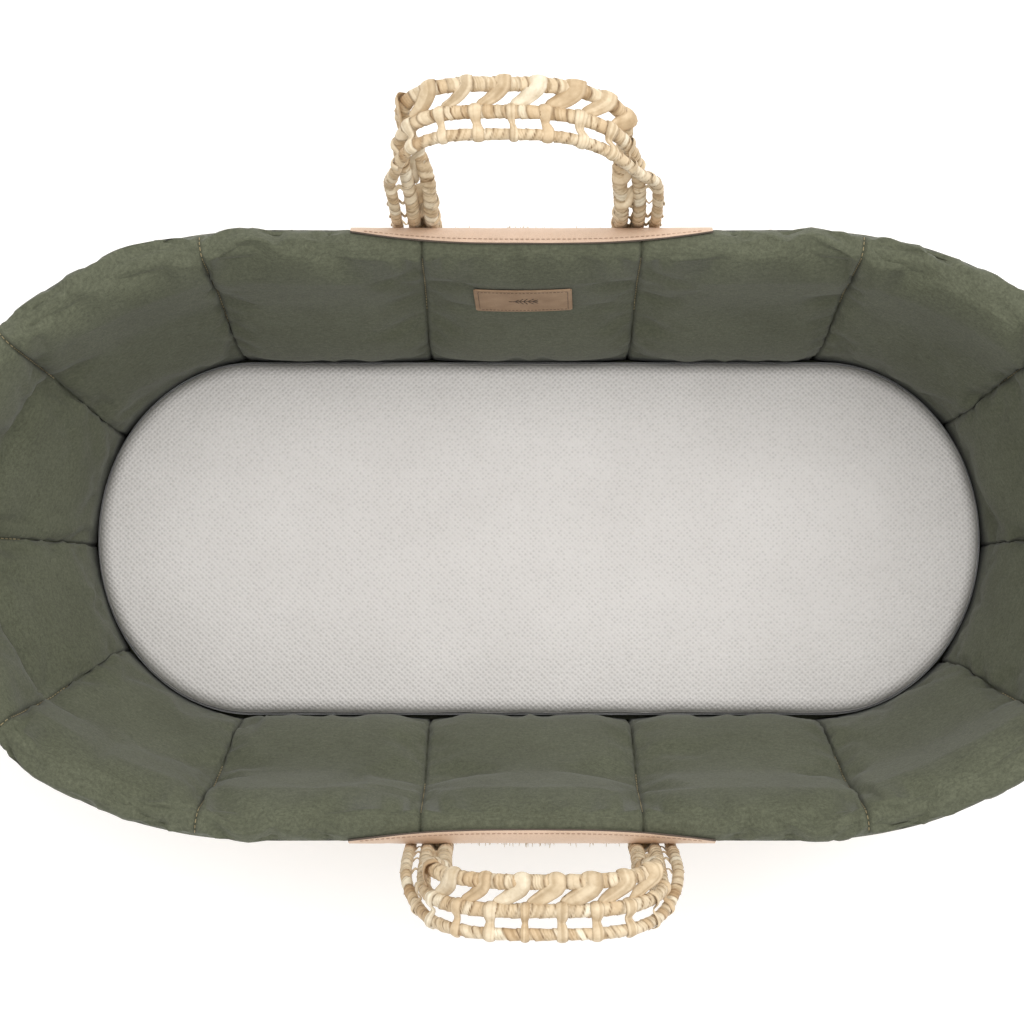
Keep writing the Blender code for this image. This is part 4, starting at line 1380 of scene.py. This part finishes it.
# Each handle's side, which way is outward (y), lean in degrees, roll, middle of its tails, and skew.
HANDLES = (("front", -1, 13, 1, 0.007, 0.0), ("rear", 1, 24.5, -1, -0.004, -0.020))
# Half widths of the lacing leaves, in metres, at shares of their length.
SLANT_SHARES = (0, 0.17, 0.34, 0.5, 0.68, 0.87, 1)
SLANT_WIDTHS = (2.4e-3, 4.8e-3, 7.2e-3, 7.2e-3, 5.8e-3, 4e-3, 2.4e-3)
RUNG_SHARES = (0, 0.2, 0.35, 0.5, 0.7, 1)
RUNG_WIDTHS = (3.6e-3, 4.6e-3, 4e-3, 2.6e-3, 4e-3, 3.4e-3)
LASHING_TURNS = 3
CORD_SAMPLES = 600  # along each cord, to lay the lacing out on


def loop_spots(pitch):
    """(x, along, normal x, normal up) along the middle of a handle's loop."""
    across, rise = LOOP_CORNER
    knee = LOOP_HEIGHT - rise
    left = [(-HANDLE_HALF_SPAN, up, -1.0, 0.0) for up in np.arange(0.004, knee, pitch)]
    for angle in np.linspace(0, math.pi / 2, int(0.060 / pitch), endpoint=False):
        x = -HANDLE_HALF_SPAN + across * (1 - math.cos(angle))
        normal = Vector((-math.cos(angle) / across, math.sin(angle) / rise)).normalized()
        left.append((x, knee + rise * math.sin(angle), normal.x, normal.y))
    flat = HANDLE_HALF_SPAN - across
    left += [(x, LOOP_HEIGHT, 0.0, 1.0) for x in np.arange(-flat, 0.0, pitch)]
    return left + [(0.0, LOOP_HEIGHT, 0.0, 1.0)] + [(-x, up, -nx, nz) for x, up, nx, nz in reversed(left)]


class Strap:
    """One handle's strap: where its cords run, in the legs, over the loop and down the wall."""

    def __init__(self, side, sign, lean, roll, centre, skew):
        self.side, self.sign, self.lean, self.roll = side, sign, math.radians(lean), roll
        self.centre, self.skew = centre, skew
        swing = next(joint for joint in frame["joints"] if joint["name"] == f"{side}_handle_swing")
        self.pivot = np.array(swing["pos_m"])

    def loop_point(self, spot, offset):
        x, along, normal_x, normal_z = spot
        twist = math.pi / 2 * float(smooth(TWIST_FROM, TWIST_TO, along))
        up = np.array([0.0, self.sign * math.sin(self.lean), math.cos(self.lean)])
        width = (np.array([normal_x, 0.0, 0.0]) + up * normal_z) * math.cos(twist)
        width = width + np.array([0.0, self.sign * self.roll, 0.0]) * math.sin(twist)
        share = min(max(along / TWIST_TO, 0.0), 1.0)
        pitch = LEG_PITCH + (TOP_PITCH * LOOP_SPREAD[offset] - LEG_PITCH) * share * share
        foot = np.array([x + self.skew * (along / LOOP_HEIGHT) ** 2, -self.sign * STRAP_INSIDE_AXIS, 0.0])
        return self.pivot + foot + up * along + width * offset * pitch

    def tail_point(self, hand, up, offset):
        wall = float(wall_out(up)) + WALL_THICKNESS + TAIL_LIFT
        out = wall + (TAIL_OUT - wall) * float(smooth(TAIL_BEND_FROM, TAIL_BEND_TO, up))
        x = self.centre + hand * (HANDLE_HALF_SPAN + offset * LEG_PITCH)
        return np.array([x, self.sign * (SPINE_HALF_WIDTH + out), up])

    def line(self, offset, pitch=0.003):
        top = self.pivot[2] - 0.004
        tail = np.arange(TAIL_FOOT, top, pitch)
        points = [self.tail_point(-1, up, offset) for up in tail]
        points += [self.loop_point(spot, offset) for spot in loop_spots(pitch)]
        points += [self.tail_point(1, up, offset) for up in tail[::-1]]
        return relaxed(np.array(points), 36)


def blend_over_pivot(piece):
    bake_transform(piece)


def resample(line, count):
    """A line's shape again in this many even steps, and its length."""
    steps = lengths_along(line)
    return read_line(line, steps, np.linspace(0, steps[-1], count)), steps[-1]


def smooth_line(points, count):
    """A smooth curve through a few points."""
    points = np.asarray(points, float)
    padded = np.concatenate([[2 * points[0] - points[1]], points, [2 * points[-1] - points[-2]]])
    out = []
    for share in np.linspace(0, len(points) - 1, count):
        i = min(int(share), len(points) - 2)
        t = share - i
        a, b, c, d = padded[i : i + 4]
        out.append(
            0.5 * (2 * b + (c - a) * t + (2 * a - 5 * b + 4 * c - d) * t**2 + (3 * b - a - 3 * c + d) * t**3)
        )
    return np.array(out)


def handle(strap, finish):
    """A handle's three wound cords and the two rows of leaves that lace them together."""
    lines = {}
    for name, offset in CORD_OFFSETS.items():
        line = strap.line(offset)
        size = CORD_SIZES[name]
        seed = 100 + 10 * offset + (5 if strap.sign > 0 else 0)
        piece = wound(f"{strap.side}_{name}_cord_wound", line, size, finish, seed, 0.0072 + 0.1 * size)
        nodes = [f"{strap.side}_handle_{name}_cord"]
        if name == "middle":
            nodes += [f"{strap.side}_{hand}_handle_tail" for hand in ("left", "right")]
        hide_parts(*nodes)
        blend_over_pivot(piece)
        lines[name], total = resample(line, CORD_SAMPLES)
    spots = int(total / LACE_PITCH)
    slants, rungs = [], []
    for k in range(spots):
        place_at = (k + 0.5) / spots
        seed = float(hashed(k, strap.sign + 3))
        slants.append(slanted_leaf(lines, place_at, total, seed, k))
        rung_at = place_at + 0.5 / spots if k < spots - 1 else place_at
        rungs.append(rung_leaf(lines, rung_at, seed, k))
    for name, parts in (("inner", slants), ("outer", rungs)):
        piece = joined(f"{strap.side}_{name}_lacing_leaves", parts, finish)
        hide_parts(f"{strap.side}_handle_{name}_lacing")
        blend_over_pivot(piece)


def strap_frame(lines, share, first, second):
    """A point on each of two cords at a share of their length, and the directions along and across them and
    out of the strap's face, which is upward over the loop and away from the basket in a leg."""
    count = len(lines[first])
    i = int(np.clip(round(share * (count - 1)), 2, count - 3))
    a, b = lines[first][i], lines[second][i]
    along = lines[first][i + 2] - lines[first][i - 2]
    along = along / np.linalg.norm(along)
    across = (b - a) - along * np.dot(b - a, along)
    across = across / np.linalg.norm(across)
    face = np.cross(along, across)
    hint = np.array([0.0, 0.4 * math.copysign(1.0, a[1]), 1.0])
    return a, b, along, across, face if np.dot(face, hint) > 0 else -face


def lacing_leaf(points, count, shares, widths, along, face, turn_most, seed):
    """A leaf through these points that twists by turn_most at its middle."""
    line = smooth_line(points, count)
    spots = np.linspace(0, 1, count)
    twists = []
    for spot in spots:
        turn = turn_most * math.sin(math.pi * spot)
        twists.append(along * math.cos(turn) + face * math.sin(turn))
    return leaf_strip(line, np.interp(spots, shares, widths), twists, seed)


def slanted_leaf(lines, share, total, seed, k):
    """A broad leaf from the thick cord that slants down to the middle one and tucks under it."""
    shift = 0.0085 / total
    thick, _, along, across, face = strap_frame(lines, share + shift, "inner", "middle")
    _, mid, _, across_b, face_b = strap_frame(lines, share - shift, "inner", "middle")
    big, small = CORD_SIZES["inner"] * 1.10, CORD_SIZES["middle"] * 1.08
    points = [
        thick - across * big * 0.30 - face * big * 0.95,
        thick - across * big * 0.95 - face * big * 0.15,
        thick - across * big * 0.55 + face * big * 0.85,
        thick + across * big * 0.45 + face * big * 0.92,
        (thick + mid) / 2 + face * 0.0012,
        mid - across_b * small * 0.85 - face_b * small * 0.1,
        mid - across_b * small * 0.25 - face_b * small * 0.9,
    ]
    size = 0.82 + 0.36 * float(hashed(k, 8))
    turn = 0.45 * (0.4 + 0.8 * float(hashed(k, 9)))
    return lacing_leaf(points, 22, SLANT_SHARES, size * np.array(SLANT_WIDTHS), along, face, turn, seed)


def rung_leaf(lines, share, seed, k):
    """A short leaf that wraps the middle cord and the thin one and joins them."""
    mid, thin, along, across, face = strap_frame(lines, share, "middle", "outer")
    big, small = CORD_SIZES["middle"] * 1.10, CORD_SIZES["outer"] * 1.12
    points = [
        mid - across * big * 0.95,
        mid - across * big * 0.45 + face * big * 0.88,
        mid + across * big * 0.50 + face * big * 0.86,
        (mid + thin) / 2 + face * 0.0004 + along * 0.001 * (float(hashed(k, 11)) - 0.5),
        thin - across * small * 0.55 + face * small * 0.80,
        thin + across * small * 0.50 + face * small * 0.88,
        thin + across * small * 0.98,
    ]
    size = 0.85 + 0.3 * float(hashed(k, 12))
    turn = 0.5 * (float(hashed(k, 13)) * 2 - 1)
    widths = size * np.array(RUNG_WIDTHS)
    return lacing_leaf(points, 24, RUNG_SHARES, widths, along, face, turn, 1 - seed * 0.8)


def lashing(node, finish):
    """Three turns of leaf across a tail, from the wall, over the cords and back to the wall."""
    low, high = box(node)
    sign = math.copysign(1.0, low[1])
    wall_y = low[1] if sign > 0 else high[1]
    face_y = high[1] if sign > 0 else low[1]
    middle = (low[0] + high[0]) / 2
    half = (high[0] - low[0]) / 2
    parts = []
    for k in range(LASHING_TURNS):
        up = low[2] + (high[2] - low[2]) * (k + 0.5) / LASHING_TURNS
        skew = 0.0012 * (float(hashed(k, middle > 0, 3)) - 0.5)
        points = []
        for angle in np.linspace(0, math.pi, 13):
            reach = abs(math.cos(angle)) ** 0.45 * math.copysign(1, -math.cos(angle))
            rise = math.sin(angle) ** 0.40
            lobes = 0.0008 * math.cos(3 * math.pi * reach)
            y = wall_y + (face_y - wall_y + sign * lobes) * rise
            points.append((middle + half * reach, y, up + skew * reach))
        line = smooth_line(points, 40)
        upward = np.array((0.0, 0.0, 1.0))
        parts.append(leaf_strip(line, [0.0019] * 40, [upward] * 40, float(hashed(k, 17)), 0.001))
    made = joined(f"{node}_leaves", parts, finish)
    place(made, "basket", "handle_palm", node)


# The floor, the light and the camera.

FLOOR_REACH = 14.0
CAMERA_ELEVATION = math.radians(86.8)
CAMERA_TARGET = Vector((-0.0150, 0.027, 0.055))
CAMERA_DISTANCE = 2.0
CAMERA_LENS = 83.3


def lamp(name, power, size, place_at, aim=(0.0, 0.0, 0.1), colour=(1.0, 1.0, 1.0)):
    data = bpy.data.lights.new(name, "AREA")
    data.energy, data.size, data.color = power, size, colour
    made = bpy.data.objects.new(name, data)
    made.location = place_at
    made.rotation_euler = (Vector(aim) - Vector(place_at)).to_track_quat("-Z", "Y").to_euler()
    bpy.context.scene.collection.objects.link(made)


def studio():
    """A white floor under an even white sky, with two soft lamps."""
    paper = Finish("paper", roughness=0.9, specular=0.1)
    tone = paper.noise(3, 2.0)
    paper.colour(paper.ramp(tone, (0.0, (0.94, 0.94, 0.94)), (1.0, (0.95, 0.95, 0.95))))
    points = [(-FLOOR_REACH, -FLOOR_REACH, 0), (FLOOR_REACH, -FLOOR_REACH, 0)]
    points += [(FLOOR_REACH, FLOOR_REACH, 0), (-FLOOR_REACH, FLOOR_REACH, 0)]
    floor = mesh_object("floor", points, [(0, 1, 2, 3)], paper.material)
    paper.shader.inputs["Emission Color"].default_value = (1.0, 1.0, 1.0, 1.0)
    paper.shader.inputs["Emission Strength"].default_value = 0.18
    world = bpy.data.worlds.new("studio")
    world.use_nodes = True
    world.node_tree.nodes["Background"].inputs["Color"].default_value = (1.0, 1.0, 1.0, 1.0)
    world.node_tree.nodes["Background"].inputs["Strength"].default_value = 1.0
    bpy.context.scene.world = world
    lamp("overhead", 18.5, 1.8, (0.3, 0.5, 2.2))
    lamp("window", 13, 1.4, (1.6, 1.4, 1.9))


def camera():
    """Nearly straight above, as in the photo."""
    data = bpy.data.cameras.new("camera")
    data.lens = CAMERA_LENS
    data.sensor_width = 36.0
    data.clip_end = 20.0
    made = bpy.data.objects.new("camera", data)
    away = Vector((0.0, -math.cos(CAMERA_ELEVATION), math.sin(CAMERA_ELEVATION)))
    made.location = CAMERA_TARGET + away * CAMERA_DISTANCE
    made.rotation_euler = (-away).to_track_quat("-Z", "Y").to_euler()
    bpy.context.scene.collection.objects.link(made)
    bpy.context.scene.camera = made


# Everything.

cloth = liner_cloth()
palm = palm_leaf()
FINISHES = {
    "olive_thread": thread("olive_thread", (0.11, 0.12, 0.085)),
    "trim_thread": thread("trim_thread", (0.42, 0.27, 0.19)),
    "dark_edge": thread("dark_edge", (0.10, 0.07, 0.05)),
    "label_thread": thread("label_thread", (0.14, 0.09, 0.055)),
    "label_print": thread("label_print", (0.07, 0.045, 0.03)),
    "elastic": plain_cloth("elastic_finish", (0.62, 0.62, 0.60), (0.84, 0.84, 0.82)),
    "zip": zip_finish(),
    "zip_teeth": plain_cloth("zip_teeth_finish", (0.16, 0.16, 0.165), (0.30, 0.30, 0.31)),
    "zip_edge": plain_cloth("zip_edge_finish", (0.27, 0.27, 0.275), (0.44, 0.44, 0.445)),
    "metal": metal_finish(),
}
MATTRESS_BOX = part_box("zip_tape")

quilt, quilt_piece = liner(cloth)
seam_threads(quilt, thread("seam_thread", (0.34, 0.27, 0.14)))
liner_floor(cloth)
skirt("left", REAR + SKIRT_END, cloth)
skirt("right", FRONT + SKIRT_END, cloth)
leather = trim_leather()
trim("front", FRONT, leather)
trim("rear", REAR, leather)
label(quilt_piece, label_leather())

for index in range(COURSES):
    wall_course(index, palm)
wall_sewing(palm)
base(palm)
rim(palm)
bristles("front", FRONT, thread("bristle_front", (0.55, 0.45, 0.30)))
bristles("rear", REAR, thread("bristle_rear", (0.55, 0.45, 0.30)))
for settings in HANDLES:
    handle(Strap(*settings), palm)
for side in ("front", "rear"):
    for hand in ("left", "right"):
        for level in ("lower", "upper"):
            lashing(f"{side}_{hand}_lashing_{level}", palm)

top_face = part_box("mattress_cover_top")[1][2]
bottom_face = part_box("mattress_cover_bottom")[0][2]
zip_low, zip_high = MATTRESS_BOX[0][2], MATTRESS_BOX[1][2]
knit = mattress_knit()
mattress_half("mattress_knit_top", "mattress_cover_top", top_face, zip_high + 0.0004, knit)
mattress_half("mattress_knit_bottom", "mattress_cover_bottom", bottom_face, zip_low - 0.0004, knit)
zip_round()
slider()

foam_core(plain_cloth("foam_finish", (0.72, 0.70, 0.62), (0.85, 0.83, 0.76)))

studio()
camera()
bpy.context.scene.view_settings.view_transform = "Standard"
